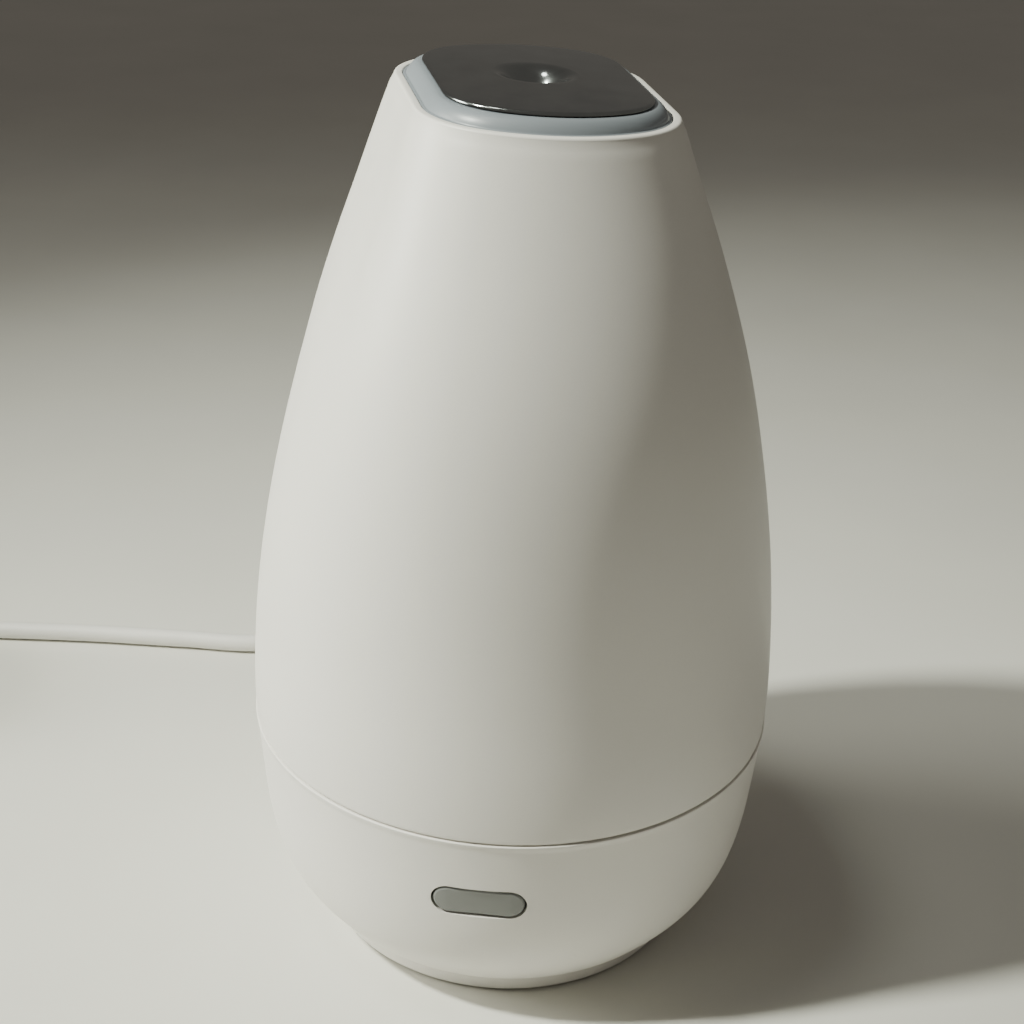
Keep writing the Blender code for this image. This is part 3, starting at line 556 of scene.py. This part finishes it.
def oblong(inset, z):
    """The rim's oblong, drawn in by inset, at height z in the lid's own frame."""
    loop = []
    for i in range(SEGMENTS):
        a = 2 * math.pi * i / SEGMENTS
        r = oblong_radius(a, RIM_HALF_WIDTH - inset, RIM_HALF_DEPTH - inset, RIM_CORNER - inset * 0.8)
        loop.append((r * math.cos(a), r * math.sin(a), z))
    return loop


def oblongs(outline):
    """Oblong loops from (inset, height) pairs."""
    return [oblong(inset, z) for inset, z in outline]


def tank_section(z, inset=0.0):
    """The tank's outline at height z: round below, turning oblong and sloping towards the rim."""
    share = ease((z - MORPH_START_Z) / (RIM_Z - MORPH_START_Z))
    slope = TOP_SLOPE * ease((z - SLOPE_START_Z) / (RIM_Z - 5 - SLOPE_START_Z))
    loop = []
    for i in range(SEGMENTS):
        a = 2 * math.pi * i / SEGMENTS
        stretch = oblong_radius(a, RIM_HALF_WIDTH, RIM_HALF_DEPTH, RIM_CORNER) / body_radius(RIM_Z)
        r = body_radius(z) * (1 - share + share * stretch) - inset
        x = r * math.cos(a)
        loop.append((x, r * math.sin(a), z - slope * x))
    return loop


def rim_section(inset, drop):
    """A loop near the rim, inset from its outer edge and drop below its top."""
    return [(x, y, z - TOP_SLOPE * x) for x, y, z in oblong(inset, RIM_Z - drop)]


def level(y):
    """The place of a pill that stands flat, at one Y."""
    return lambda x, z: y


def pill(half_width, half_height, place):
    """A pill-shaped loop in X and Z. place(x, z) gives each point's Y."""
    steps = 24
    loop = []
    straight = half_width - half_height
    for side in (1, -1):
        for i in range(steps + 1):
            a = math.pi * (i / steps - 0.5)
            x = side * (straight + half_height * math.cos(a))
            z = BUTTON_Z + side * half_height * math.sin(a)
            loop.append((x, place(x, z), z))
    return loop


TANK_FRAME = Matrix.Rotation(TANK_TURN, 4, "Z")
LID_FRAME = (
    Matrix.Translation((0, 0, RIM_Z * MM))
    @ Matrix.Rotation(TANK_TURN, 4, "Z")
    @ Matrix.Rotation(math.atan(TOP_SLOPE), 4, "Y")
)


# ---------------------------------------------------------------- mains lead


def smooth_route(points, spacing):
    """Points a spacing apart along a smooth curve through the route's own points."""
    fine = 24
    route = [Vector(p) for p in points]
    route = [2 * route[0] - route[1], *route, 2 * route[-1] - route[-2]]
    dense = []
    for a, b, c, d in zip(route, route[1:], route[2:], route[3:]):
        for i in range(fine):
            t = i / fine
            line = 2 * b + (c - a) * t
            bend = (2 * a - 5 * b + 4 * c - d) * t**2
            turn = (3 * b - a - 3 * c + d) * t**3
            dense.append(0.5 * (line + bend + turn))
    dense.append(route[-2])
    walked = np.cumsum([0.0] + [(q - p).length for p, q in zip(dense, dense[1:])])
    count = round(walked[-1] / spacing)
    wanted = np.linspace(0.0, walked[-1], count + 1)
    axes = [np.interp(wanted, walked, [p[k] for p in dense]) for k in range(3)]
    return np.array(axes).T


def coil_radius(turned_by):
    """The coil's radius after turned_by degrees: each turn shifts over to the next one's place."""
    turn = min(int(turned_by // 360), len(COIL_TURNS) - 1)
    if turn == len(COIL_TURNS) - 1:
        return COIL_TURNS[turn]
    within = turned_by - 360 * turn
    shift = ease((within - COIL_SHIFT_AT[turn]) / COIL_SHIFT_OVER)
    return COIL_TURNS[turn] + (COIL_TURNS[turn + 1] - COIL_TURNS[turn]) * shift


def coil_route():
    """Flat centreline of the coil, from its far side round to its left side."""
    total = 1890
    step = 6
    made = []
    for turned_by in range(0, total + 1, step):
        a = math.radians(90 + turned_by)
        r = coil_radius(turned_by)
        made.append((COIL_CENTRE[0] + r * math.cos(a), COIL_CENTRE[1] + r * math.sin(a), CORD_RESTING_Z))
    return made


def laid_on_itself(points, start, spacing):
    """Lift each point from index start on, so that it rests on the turns that were laid before it."""
    apart = int(4 * CORD_DIAMETER / spacing)
    across = CORD_DIAMETER + 0.05
    for i in range(start, len(points)):
        earlier = points[: max(i - apart, 0)]
        flat = np.hypot(earlier[:, 0] - points[i, 0], earlier[:, 1] - points[i, 1])
        near = flat < across
        if near.any():
            points[i, 2] = max(points[i, 2], (earlier[near, 2] + np.sqrt(across**2 - flat[near] ** 2)).max())
    reach = int(1.6 * CORD_DIAMETER / spacing)
    tall = points[:, 2].copy()
    for i in range(start, len(points)):
        tall[i] = points[max(i - reach, start) : i + reach + 1, 2].max()
    for i in range(start, len(points)):
        points[i, 2] = tall[max(i - reach, start) : i + reach + 1].mean()
    return points


def mains_route():
    """The lead's centreline: out of the boot, down to the table, round the coil and into the plug."""
    spacing = 2.5
    coil_x, coil_y = COIL_CENTRE
    tail_x = coil_x - COIL_TURNS[-1]
    lead = [
        (0.0, 86.0, 24.0),
        (0.0, 101.3, 24.0),
        (0.0, 109.0, 23.6),
        (-2.0, 123.0, 18.0),
        (-9.0, 138.0, 10.0),
        (-24.0, 149.0, 4.6),
        (-47.0, 151.0, CORD_RESTING_Z),
        (-82.0, 142.0, CORD_RESTING_Z),
        (-118.0, 131.0, CORD_RESTING_Z),
        (-148.0, 129.5, CORD_RESTING_Z),
        (-188.0, 127.5, CORD_RESTING_Z),
        (-226.0, 124.0, CORD_RESTING_Z),
        (coil_x + 25.0, coil_y + COIL_TURNS[0], CORD_RESTING_Z),
    ]
    approach = len(smooth_route([*lead, (coil_x, coil_y + COIL_TURNS[0], CORD_RESTING_Z)], spacing))
    tail = [(tail_x, y, CORD_RESTING_Z) for y in (coil_y - 12.0, coil_y - 24.0)]
    tail += [(tail_x, 49.5, 9.6), (tail_x, 36.9, 8.8)]
    tail += [(tail_x, PLUG_Y + GAP, PLUG_Z), (tail_x, PLUG_Y - 8.0, PLUG_Z)]
    points = smooth_route([*lead, *coil_route(), *tail], spacing)
    return laid_on_itself(points, approach, spacing)


def make_mains_lead():
    """The lead as one curve, standing for the CAD cord nodes."""
    route = mains_route() * MM
    curve = bpy.data.curves.new("mains_lead", "CURVE")
    curve.dimensions = "3D"
    curve.bevel_depth = CORD_DIAMETER / 2 * MM
    curve.bevel_resolution = 6
    curve.use_fill_caps = True
    spline = curve.splines.new("POLY")
    spline.points.add(len(route) - 1)
    for point, place in zip(spline.points, route):
        point.co = (*place, 1.0)
    spline.use_smooth = True
    curve.materials.append(FINISHES["cord_white"])
    lead = bpy.data.objects.new("mains_lead", curve)
    bpy.context.collection.objects.link(lead)
    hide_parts("mains_cord", "cord_coil", "cord_tail")
    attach(lead, "base")


def make_strain_relief():
    """A tapered ribbed boot on the bowl's back."""
    exit_y = CORD_EXIT[1]
    exit_z = CORD_EXIT[2]
    bore = 3.6
    neck = 4.9
    flange = 6.8
    flange_thick = 2.6
    root = 6.1
    tip = 4.7
    taper = 1.3
    collar = 3.0
    ribs = 4
    inside = body_radius(exit_z - flange) - BASE_WALL - 0.5
    outside = body_radius(exit_z + 6.2) + 0.5
    outline = [(bore, inside - flange_thick), (flange, inside - flange_thick), (flange, inside)]
    outline += [(neck, inside), (neck, outside), (root + 0.1, outside), (root, outside + collar)]
    pitch = (exit_y - 2.0 - outside - collar) / ribs
    for i in range(ribs):
        y = outside + collar + i * pitch
        r = root - taper * i / ribs
        outline += [(r - 0.9, y + 0.2), (r - 0.9, y + 1.1), (r - 0.15, y + 1.3), (r - 0.3, y + pitch - 0.1)]
    outline += [(tip, exit_y), (bore, exit_y)]
    boot = turned("cord_boot", fillet(outline, 0.35), "cord_white", "base", ["strain_relief"], count=64)
    return lying(boot, (0, 0, exit_z))


def squared(value):
    """Take a cosine or sine outwards, which makes a circle a rounded square."""
    return math.copysign(abs(value) ** 0.6, value)


def make_plug(x):
    """A moulded two-blade plug that lies beside the coil, with ridges to grip."""
    full = PLUG_LENGTH - PLUG_ROUND
    ridges_from = 15.0
    ridges_to = 30.0
    groove_depth = 0.45
    along = [(-2.0, 4.2, 4.0), (0.0, 5.0, 4.2), (4.0, 5.2, 4.4), (8.0, 6.0, 4.8), (11.0, 8.4, 5.9)]
    along += [(13.5, 10.4, 6.9), (20.0, 11.2, 7.3), (28.0, 11.5, 7.5), (full, 11.5, 7.6)]
    half_x = cubic([(at, wide) for at, wide, tall in along])
    half_z = cubic([(at, tall) for at, wide, tall in along])
    loops = []
    for at in [-0.5, *steps_between(0.0, full, 0.5), full + 0.6, full + 0.9, PLUG_LENGTH]:
        end = max(0.0, at - full) / PLUG_ROUND
        shrink = 0.9 * (1 - math.sqrt(max(0.0, 1 - end**2)))
        grooved = ridges_from <= at <= ridges_to and int(at * 2) % 6 in (3, 4)
        groove = groove_depth if grooved else 0.0
        a_x = half_x(min(at, full)) - shrink - groove
        a_z = half_z(min(at, full)) - shrink - groove * 0.7
        loop = []
        for i in range(64):
            a = 2 * math.pi * i / 64
            loop.append((x + a_x * squared(math.cos(a)), PLUG_Y - at, PLUG_Z + a_z * squared(math.sin(a))))
        loops.append(loop)
    plug = loft("plug_grip", loops, "cord_white", "base", ["plug_body"], smooth=50.0)
    blades = [make_blade(x, i, side) for i, side in enumerate((-1, 1))]
    return [plug, *blades]


def make_blade(x, index, side):
    """A flat blade with a rounded tip and a hole near it."""
    half_z = 3.175
    length = 17.0
    half_pitch = 6.35
    round_y = 1.5
    round_z = 1.2
    root = PLUG_Y - PLUG_LENGTH
    tip = root - GAP - length
    outline = [(root, -half_z), (tip + round_y, -half_z), (tip, -half_z + round_z), (tip, half_z - round_z)]
    outline += [(tip + round_y, half_z), (root, half_z)]
    loops = []
    centre_x = x + side * half_pitch
    for dx, draw in ((-0.75, 0.2), (-0.55, 0.0), (0.55, 0.0), (0.75, 0.2)):
        loop = []
        for y, z in outline:
            back = draw if y < root else 0
            loop.append((centre_x + dx, y + back, PLUG_Z + z * (1 - draw / 4)))
        loops.append(loop)
    blade = loft(f"blade_{index + 1}", loops, "steel", "base", [f"plug_blade_{index + 1}"])
    hole = turned("hole", [(1.6, -3.0), (1.6, 3.0)], count=24, ring=False)
    place = Matrix.Translation(Vector((centre_x, tip + 4.5, PLUG_Z)) * MM)
    hole.data.transform(place @ Matrix.Rotation(math.pi / 2, 4, "Y"))
    return carve(blade, cuts=[hole])


cord_boot = make_strain_relief()
plug_pieces = make_plug(COIL_CENTRE[0] - COIL_TURNS[-1])
make_mains_lead()


# ---------------------------------------------------------------- tank


def make_tank_shell():
    """The egg-shaped skin, its rounded rim and the ledge that the lid's ring stands on."""
    low = SEAM_Z + SEAM_GAP / 2
    seam_edge = [(0.0, TANK_WALL), (0.0, 0.42), (0.05, 0.22), (0.18, 0.09), (0.42, 0.0)]
    loops = [tank_section(low + rise, inset) for rise, inset in seam_edge]
    loops += [tank_section(z) for z in steps_between(low + 1.5, 267.5, 2.4)]
    outer = 0.9
    for a in quarter(7):
        loops.append(rim_section(outer - outer * math.cos(a), outer - outer * math.sin(a)))
    inner = 0.4
    for a in quarter(3):
        loops.append(rim_section(RIM_WALL - inner + inner * math.sin(a), inner - inner * math.cos(a)))
    ledge_thick = 2.4
    loops += [rim_section(RIM_WALL, LEDGE_DROP), rim_section(LEDGE_INSET, LEDGE_DROP)]
    loops += [rim_section(LEDGE_INSET, LEDGE_DROP + ledge_thick)]
    loops += [tank_section(z, TANK_WALL) for z in steps_between(254.0, 81.0, 6.0)]
    loft("tank_skin", loops, "white_shell", "tank", ["tank_shell"], TANK_FRAME, ring=True)


def make_lid_ring():
    """The blue-grey ring: a thin lip in the rim's groove, then a steep rounded bevel up to the plate."""
    low = -3.3
    inner = 13.0
    edge = RIM_WALL + 0.15
    lip = RIM_WALL + 1.0
    lip_z = -0.1
    wide = 3.7
    tall = RING_TOP - lip_z
    outline = [(edge, low), (edge, -0.35), (edge + 0.06, -0.2), (edge + 0.2, -0.12), (lip - 0.08, lip_z)]
    outline += [(lip, -0.04)]
    for a in quarter(18, 1):
        reach = 0.7 * (1 - math.cos(a)) + 0.3 * math.sin(a)
        outline.append((lip + wide * reach, lip_z + tall * math.sin(a)))
    outline += [(lip + wide + 1.2, RING_TOP), (inner, RING_TOP), (inner, low)]
    loft("ring_bevel", oblongs(outline), "ring_plastic", "lid", ["lid_ring"], LID_FRAME, ring=True)


def make_outlet_plate():
    """The mirror plate: a low dome with a rolled edge, and a soft funnel that sinks into its middle."""
    under = RING_TOP + GAP
    face = under + 1.0
    dome = 1.0
    crown = face + dome
    dome_radius = 38.0
    roll = 0.75
    edge = PLATE_INSET
    mouth = 12.6
    throat = 5.6
    loops = oblongs([(edge + 1.2, under), (edge + 0.15, under), (edge, under + 0.1)])
    for a in quarter(6):
        loops.append(oblong(edge + roll * (1 - math.cos(a)), face - roll + roll * math.sin(a)))
    for i in range(1, 15):
        fade = ease(i / 14)
        loop = []
        for x, y, _ in oblong(edge + roll, 0.0):
            length = math.hypot(x, y)
            r = length * 0.985 * (1 - fade) + mouth * fade
            loop.append((x / length * r, y / length * r, face + dome * (1 - (r / length) ** 2)))
        loops.append(loop)
    lip_z = face + dome * (1 - (mouth / dome_radius) ** 2)
    fall = lip_z - (crown - 4.9)
    for i in range(1, 21):
        t = i / 20
        loops.append(circle(mouth + (throat - mouth) * t, lip_z - fall * (0.03 * t + 0.97 * t**2.4)))
    for radius, drop in ((throat, 5.4), (6.8, 5.4), (9.4, 3.3), (12.4, 1.6)):
        loops.append(circle(radius, crown - drop))
    loops.append([(x * 0.7, y * 0.7, under + 0.4) for x, y, _ in oblong(edge, 0.0)])
    stands_for = ["outlet_plate"]
    loft("mirror_plate", loops, "mirror_plate", "lid", stands_for, LID_FRAME, ring=True, smooth=40.0)


make_tank_shell()
make_lid_ring()
make_outlet_plate()


# ---------------------------------------------------------------- base


def screw_places():
    """Where the screws that close the base stand."""
    turns = [math.radians(a) for a in CORNER_ANGLES]
    return [(SCREW_CIRCLE * math.cos(a), SCREW_CIRCLE * math.sin(a)) for a in turns]


def make_base_shell():
    """The bowl: a window for the button, a hole for the lead and a thin proud lip under the seam."""
    rim = SEAM_Z - SEAM_GAP / 2
    proud = 0.4
    lip_round = 0.3
    foot = FOOT_TOP_Z + 0.2
    foot_top = foot + LIP_THICK
    outline = [(LIP_INNER, foot), (body_radius(foot) - 0.6, foot), (body_radius(foot) - 0.25, foot + 0.08)]
    outline += [(body_radius(foot + 0.4) - 0.03, foot + 0.4)]
    outline += [(body_radius(z), z) for z in steps_between(10.6, rim - 3.0, 1.8)]
    for drop, share in ((1.9, 0.15), (1.2, 0.65)):
        outline.append((body_radius(rim - drop) + proud * share, rim - drop))
    round_from = body_radius(rim) + proud
    for a in quarter(6):
        outline.append((round_from - lip_round * (1 - math.cos(a)), rim - lip_round * (1 - math.sin(a))))
    outline += [(body_radius(rim) - BASE_WALL, rim)]
    outline += [(body_radius(z) - BASE_WALL, z) for z in steps_between(67.0, 16.0, 5.0)]
    outline += [(body_radius(foot_top) - BASE_WALL - 1.0, foot_top), (LIP_INNER, foot_top)]
    shell = turned("bowl_skin", outline, "white_shell", "base", ["base_shell"], count=SEGMENTS)
    clear = 0.5
    window = [pill(BUTTON_HALF_WIDTH + clear, BUTTON_HALF_HEIGHT + clear, level(y)) for y in (-90, -70)]
    cuts = [loft("window", window)]
    cuts.append(lying(post(50, 90, 5.3, (0, 0), 64), (0, 0, CORD_EXIT[2])))
    cuts += [post(5, 15, 1.7, place) for place in screw_places()]
    carve(shell, cuts)


def make_foot_ring():
    """The bottom cover: a stepped-in ring that the bowl seems to float on, a floor, air slots and posts."""
    top = FOOT_TOP_Z - 0.1
    roof = top - 2.2
    foot_inner = FOOT_RADIUS - 2.2
    lip_outer = LIP_INNER + 1.6
    lip_inner = LIP_INNER - 0.4
    floor_top = FLOOR_Z + FLOOR_THICK
    outline = [(1.0, FLOOR_Z), (lip_outer, FLOOR_Z), (lip_outer, roof), (foot_inner, roof), (foot_inner, 0.8)]
    outline += [(FOOT_RADIUS - 1.6, 0.8), (FOOT_RADIUS - 0.8, 0.9), (FOOT_RADIUS - 0.3, 1.3)]
    outline += [(FOOT_RADIUS, 2.0), (FOOT_RADIUS + 0.6, top), (lip_inner, top)]
    outline += [(lip_inner, floor_top), (1.0, floor_top)]
    rounded = fillet(outline, 0.3, closed=False)
    bottom = turned("foot_ring", rounded, "white_shell", "base", ["base_bottom"], count=SEGMENTS, ring=False)
    posts = [post(FLOOR_Z + 1, BOARD_Z - GAP, 2.6, place) for place in board_posts()]
    cuts = [post(5, 15, 1.7, place) for place in screw_places()]
    cuts += [bar((FAN_X, (i - 2.5) * 5.6, 4.0), (28, 2.8, 10)) for i in range(6)]
    carve(bottom, cuts, posts)


def board_posts():
    """Where the posts under the control board stand."""
    corners = ((-1, -1), (1, -1), (1, 1), (-1, 1))
    return [(BOARD_X + u * BOARD_REACH[0], v * BOARD_REACH[1]) for u, v in corners]


def make_button():
    """A pill-shaped cap that follows the bowl, with a rounded edge."""
    edge = 0.7
    clear = 0.2

    def skin(depth):
        return lambda x, z: -math.sqrt((body_radius(z) - depth) ** 2 - x**2)

    loops = []
    for share in (0.1, 0.3, 0.5, 0.7, 0.85):
        half_width = BUTTON_HALF_WIDTH - 4.4 * (1 - share) - clear
        loops.append(pill(half_width, (BUTTON_HALF_HEIGHT - 0.8) * share, skin(0.0)))
    for a in quarter(6):
        inset = clear + edge * (1 - math.sin(a))
        place = skin(edge * (1 - math.cos(a)))
        loops.append(pill(BUTTON_HALF_WIDTH - inset, BUTTON_HALF_HEIGHT - inset, place))
    for grow_x, grow_z, y in ((0, 0, -75.0), (1.6, 1.4, -75.0), (1.6, 1.4, -73.6)):
        loops.append(pill(BUTTON_HALF_WIDTH + grow_x, BUTTON_HALF_HEIGHT + grow_z, level(y)))
    loops += [pill(3.2, 3.0, level(y)) for y in (-73.6, -71.4)]
    loft("button_cap", loops, "button_grey", "button", ["power_button"])


make_base_shell()
make_foot_ring()
make_button()


# ---------------------------------------------------------------- inner pieces that show when it is opened


def turned_for(node, name, outline, body, edge=0.4, **more):
    """A turned piece with eased edges that stands for one CAD node, in that node's slot."""
    rounded = fillet(outline, edge, closed=more.get("ring", True))
    return turned(name, rounded, SLOT_OF[node], body, [node], **more)


def slab(centre, size, corner, top_edge=0.0):
    """An upright block with rounded corners and an eased top."""
    half_x = size[0] / 2
    half_y = size[1] / 2
    top = centre[2] + size[2] / 2
    levels = [(0.0, centre[2] - size[2] / 2)]
    for a in (0.0, 0.5, 1.0, 1.5):
        levels.append((top_edge * (1 - math.cos(a)), top - top_edge * (1 - math.sin(a))))
    loops = []
    for inset, z in levels:
        u = half_x - inset
        v = half_y - inset
        flat = fillet([(-u, -v), (u, -v), (u, v), (-u, v)], corner - inset, steps=6)
        loops.append([(centre[0] + x, centre[1] + y, z) for x, y in flat])
    return loft("slab", loops)


def make_deck():
    """The basin: a well over the transducer, a trough round it, the air port and the two posts."""
    wall = DECK_WALL
    rim = body_radius(DECK_Z) - BASE_WALL - 0.5
    kerb = DECK_Z + 5.0
    kerb_inner = rim - 1.8
    port = 9.0
    socket = 12.7
    clamp = 18.0
    clamp_z = 42.6
    well_outer = WELL_RADIUS + wall
    trough_outer = TROUGH_RADIUS + wall
    well_top = WELL_FLOOR_Z + wall
    trough_top = TROUGH_Z + wall
    deck_top = DECK_Z + wall
    outline = [(port, WELL_FLOOR_Z), (socket, WELL_FLOOR_Z), (socket, clamp_z), (clamp, clamp_z)]
    outline += [(clamp, WELL_FLOOR_Z), (well_outer, WELL_FLOOR_Z), (well_outer, TROUGH_Z)]
    outline += [(trough_outer, TROUGH_Z), (trough_outer, DECK_Z), (rim, DECK_Z), (rim, kerb)]
    outline += [(kerb_inner, kerb), (kerb_inner, deck_top), (TROUGH_RADIUS, deck_top)]
    outline += [(TROUGH_RADIUS, trough_top), (WELL_RADIUS, trough_top), (WELL_RADIUS, well_top)]
    outline += [(port, well_top)]
    deck = turned_for("water_basin", "deck_skin", outline, "base", 0.9, count=144)
    valve_post = [(3.0, TROUGH_Z + 1), (2.2, 66.7)]
    float_post = [(2.7, TROUGH_Z + 1), (2.7, 73.0), (2.2, 73.6)]
    welds = [slab((DUCT_X, 0, 61.5), (17.0, 26.0, 8.0), 3.0, 0.6)]
    welds.append(turned("rod", valve_post, centre=(0, VALVE_Y), count=48, ring=False))
    welds.append(turned("rod", float_post, centre=(FLOAT_X, 0), count=48, ring=False))
    carve(deck, welds=welds)
    carve(deck, [slab((DUCT_X, 0, 60.0), (13.0, 22.0, 20.0), 1.8), post(55, 71, 1.6, (FLOAT_X, 0))])


def make_tank_floor():
    """The floor of the tank, with a rim that is bonded to the skin, and holes for the tube and the valve."""
    bore = CHIMNEY_RADIUS + GAP
    outer = body_radius(TANK_FLOOR_Z) - TANK_WALL - 0.6
    inner = outer - 2
    top = TANK_FLOOR_Z + TANK_FLOOR_THICK
    outline = [(bore, TANK_FLOOR_Z), (outer, TANK_FLOOR_Z), (outer, top + 5), (inner, top + 5)]
    outline += [(inner, top), (bore, top)]
    floor = turned_for("tank_floor", "tank_bottom", outline, "tank", count=144)
    carve(floor, [post(70, 90, 15.4, (0, VALVE_Y), 64)])


def make_mist_tube():
    """The tube that the mist rises through, with a flange on the tank's floor."""
    inner = CHIMNEY_RADIUS - CHIMNEY_WALL
    flange = 17.5
    flange_z = TANK_FLOOR_Z + TANK_FLOOR_THICK + GAP
    flange_top = flange_z + 1.8
    outline = [(CHIMNEY_RADIUS, CHIMNEY_FOOT_Z), (CHIMNEY_RADIUS, flange_z), (flange, flange_z)]
    outline += [(flange, flange_top), (CHIMNEY_RADIUS, flange_top), (CHIMNEY_RADIUS, CHIMNEY_TOP_Z)]
    outline += [(inner, CHIMNEY_TOP_Z), (inner, CHIMNEY_FOOT_Z)]
    turned_for("mist_chimney", "mist_tube", outline, "tank", 0.6)


def around(count, radius, start):
    """Places evenly round the valve's middle, from the angle start on."""
    angles = [start + i * 2 * math.pi / count for i in range(count)]
    return [(radius * math.cos(a), VALVE_Y + radius * math.sin(a)) for a in angles]


def make_valve_cup():
    """The cap that screws into the tank floor, with finger notches round its flange and four flow holes."""
    stem_hole = 2.4
    inner = 12.8
    outer = 15.0
    flange = 18.0
    flange_z = 74.0
    flange_top = 75.8
    top = 84.0
    seat = TANK_FLOOR_Z + 0.6
    seat_top = seat + 2.4
    outline = [(stem_hole, seat), (inner, seat), (inner, flange_z), (flange, flange_z), (flange, flange_top)]
    outline += [(outer, flange_top), (outer, top), (inner, top), (inner, seat_top), (stem_hole, seat_top)]
    cup = turned_for("tank_valve_cap", "valve_cup", outline, "tank", centre=(0, VALVE_Y))
    cuts = [post(70, 90, 2.1, place) for place in around(4, 5.4, math.pi / 4)]
    cuts += [post(73, 77, 1.5, place) for place in around(12, 18.8, math.pi / 12)]
    carve(cup, cuts)


def make_float():
    """The foam ring that slides on the float post."""
    low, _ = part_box("float_ring")
    bore = 3.2
    outer = 9.0
    bottom = low[2] / MM
    top = bottom + 7.0
    outline = [(bore, bottom), (outer, bottom), (outer, top), (bore, top)]
    turned_for("float_ring", "foam_float", outline, "float", 1.1, centre=(FLOAT_X, 0))


def make_lid_underside():
    """The plug under the ring, its seal and the tube that takes the mist on to the plate."""
    top = -3.6
    under = -5.4
    skirt = 6.2
    skirt_inner = skirt + 1.6
    skirt_z = -12.0
    sides = [(skirt, top), (skirt, skirt_z), (skirt_inner, skirt_z), (skirt_inner, under)]
    loops = [circle(9.0, under), circle(9.0, top), *oblongs(fillet(sides, 0.6, closed=False))]
    loft("tray_skin", loops, SLOT_OF["lid_tray"], "lid", ["lid_tray"], LID_FRAME, ring=True)
    lip = fillet([(3.5, -4.7), (3.5, top), (5.9, top), (5.9, -4.7)], 0.45)
    loft("seal_ring", oblongs(lip), SLOT_OF["lid_seal"], "lid", ["lid_seal"], LID_FRAME, ring=True)
    nozzle = [(8.6, -24.0), (8.6, -3.2), (11.0, -3.2), (11.0, -0.8), (7.2, -0.8), (7.2, -24.0)]
    turned_for("outlet_tube", "mist_nozzle", nozzle, "lid", matrix=LID_FRAME)


def make_disc():
    """The plated mist disc, with a raised band round its edge."""
    outline = [(10.0, 43.4), (10.0, 44.6), (7.4, 44.6), (7.2, 44.35)]
    turned_for("transducer_disc", "mist_disc", outline, "base", 0.1, ring=False)


def make_foot_pads():
    """The four rubber feet, each with a rounded edge."""
    reach = 43.0
    outline = [(5.0, 0.0), (6.0, 0.5), (6.0, FLOOR_Z - GAP)]
    for number, angle in enumerate(CORNER_ANGLES, 1):
        a = math.radians(angle)
        centre = (reach * math.cos(a), reach * math.sin(a))
        node = f"rubber_foot_{number}"
        turned_for(node, f"foot_pad_{number}", outline, "base", 0.5, ring=False, centre=centre)


make_deck()
make_tank_floor()
make_mist_tube()
make_valve_cup()
make_float()
make_lid_underside()
make_disc()
make_foot_pads()


# ---------------------------------------------------------------- carried-over nodes


def dress_cad_nodes():
    """Every CAD node that still shows gets its slot's finish."""
    for node, obj in frame["nodes"].items():
        if obj.hide_render:
            continue
        finish = FINISHES[SLOT_OF[node]]
        if not obj.material_slots:
            obj.data.materials.append(finish)
        for slot in obj.material_slots:
            slot.material = finish


dress_cad_nodes()


# ---------------------------------------------------------------- floor and light


def make_floor():
    """A pale table, far wider than the view."""
    size = 3000 * MM
    corners = [(-size, -size, 0), (size, -size, 0), (size, size, 0), (-size, size, 0)]
    mesh = bpy.data.meshes.new("floor")
    mesh.from_pydata(corners, [], [(0, 1, 2, 3)])
    floor = bpy.data.objects.new("floor", mesh)
    bpy.context.collection.objects.link(floor)
    made, tree, shader = new_material("pale_table")
    grain = noise(tree, coordinates(tree), 90.0, 3.0)
    tone = mixed(tree, spread(tree, grain, 0.0, 1.0), (0.71, 0.70, 0.65), (0.74, 0.73, 0.68))
    tree.links.new(tone, shader.inputs["Base Color"])
    shader.inputs["Roughness"].default_value = 0.6
    mesh.materials.append(made)


def make_lamp(name, turn, rise, reach, size, power, cone, colour):
    """A round lamp, turn degrees in front of the left side and rise degrees up, with a cone of light."""
    turn = math.radians(turn)
    rise = math.radians(rise)
    aim = Vector((-40, -20, 110))
    flat = -reach * math.cos(rise)
    place = aim + Vector((flat * math.cos(turn), flat * math.sin(turn), reach * math.sin(rise)))
    data = bpy.data.lights.new(name, "AREA")
    data.shape = "DISK"
    data.size = size * MM
    data.energy = power
    data.spread = math.radians(cone)
    data.color = colour
    lamp = bpy.data.objects.new(name, data)
    lamp.location = place * MM
    lamp.rotation_euler = (aim - place).to_track_quat("-Z", "Y").to_euler()
    bpy.context.collection.objects.link(lamp)


def make_light():
    """A small key lamp, a wide low one beside it, a weak one overhead and a dim warm surround."""
    world = bpy.data.worlds.new("studio")
    world.use_nodes = True
    back = world.node_tree.nodes["Background"]
    back.inputs["Color"].default_value = (1.0, 0.93, 0.83, 1.0)
    back.inputs["Strength"].default_value = 0.125
    bpy.context.scene.world = world
    make_lamp("key", 22, 51, 1500, 110, 2.7, 48, (0.97, 1.0, 0.87))
    make_lamp("window", 0, 18, 2000, 900, 3.2, 50, (0.98, 1.0, 0.88))
    make_lamp("top", 14, 74, 2500, 420, 0.4, 40, (0.98, 1.0, 0.88))


make_floor()
make_light()
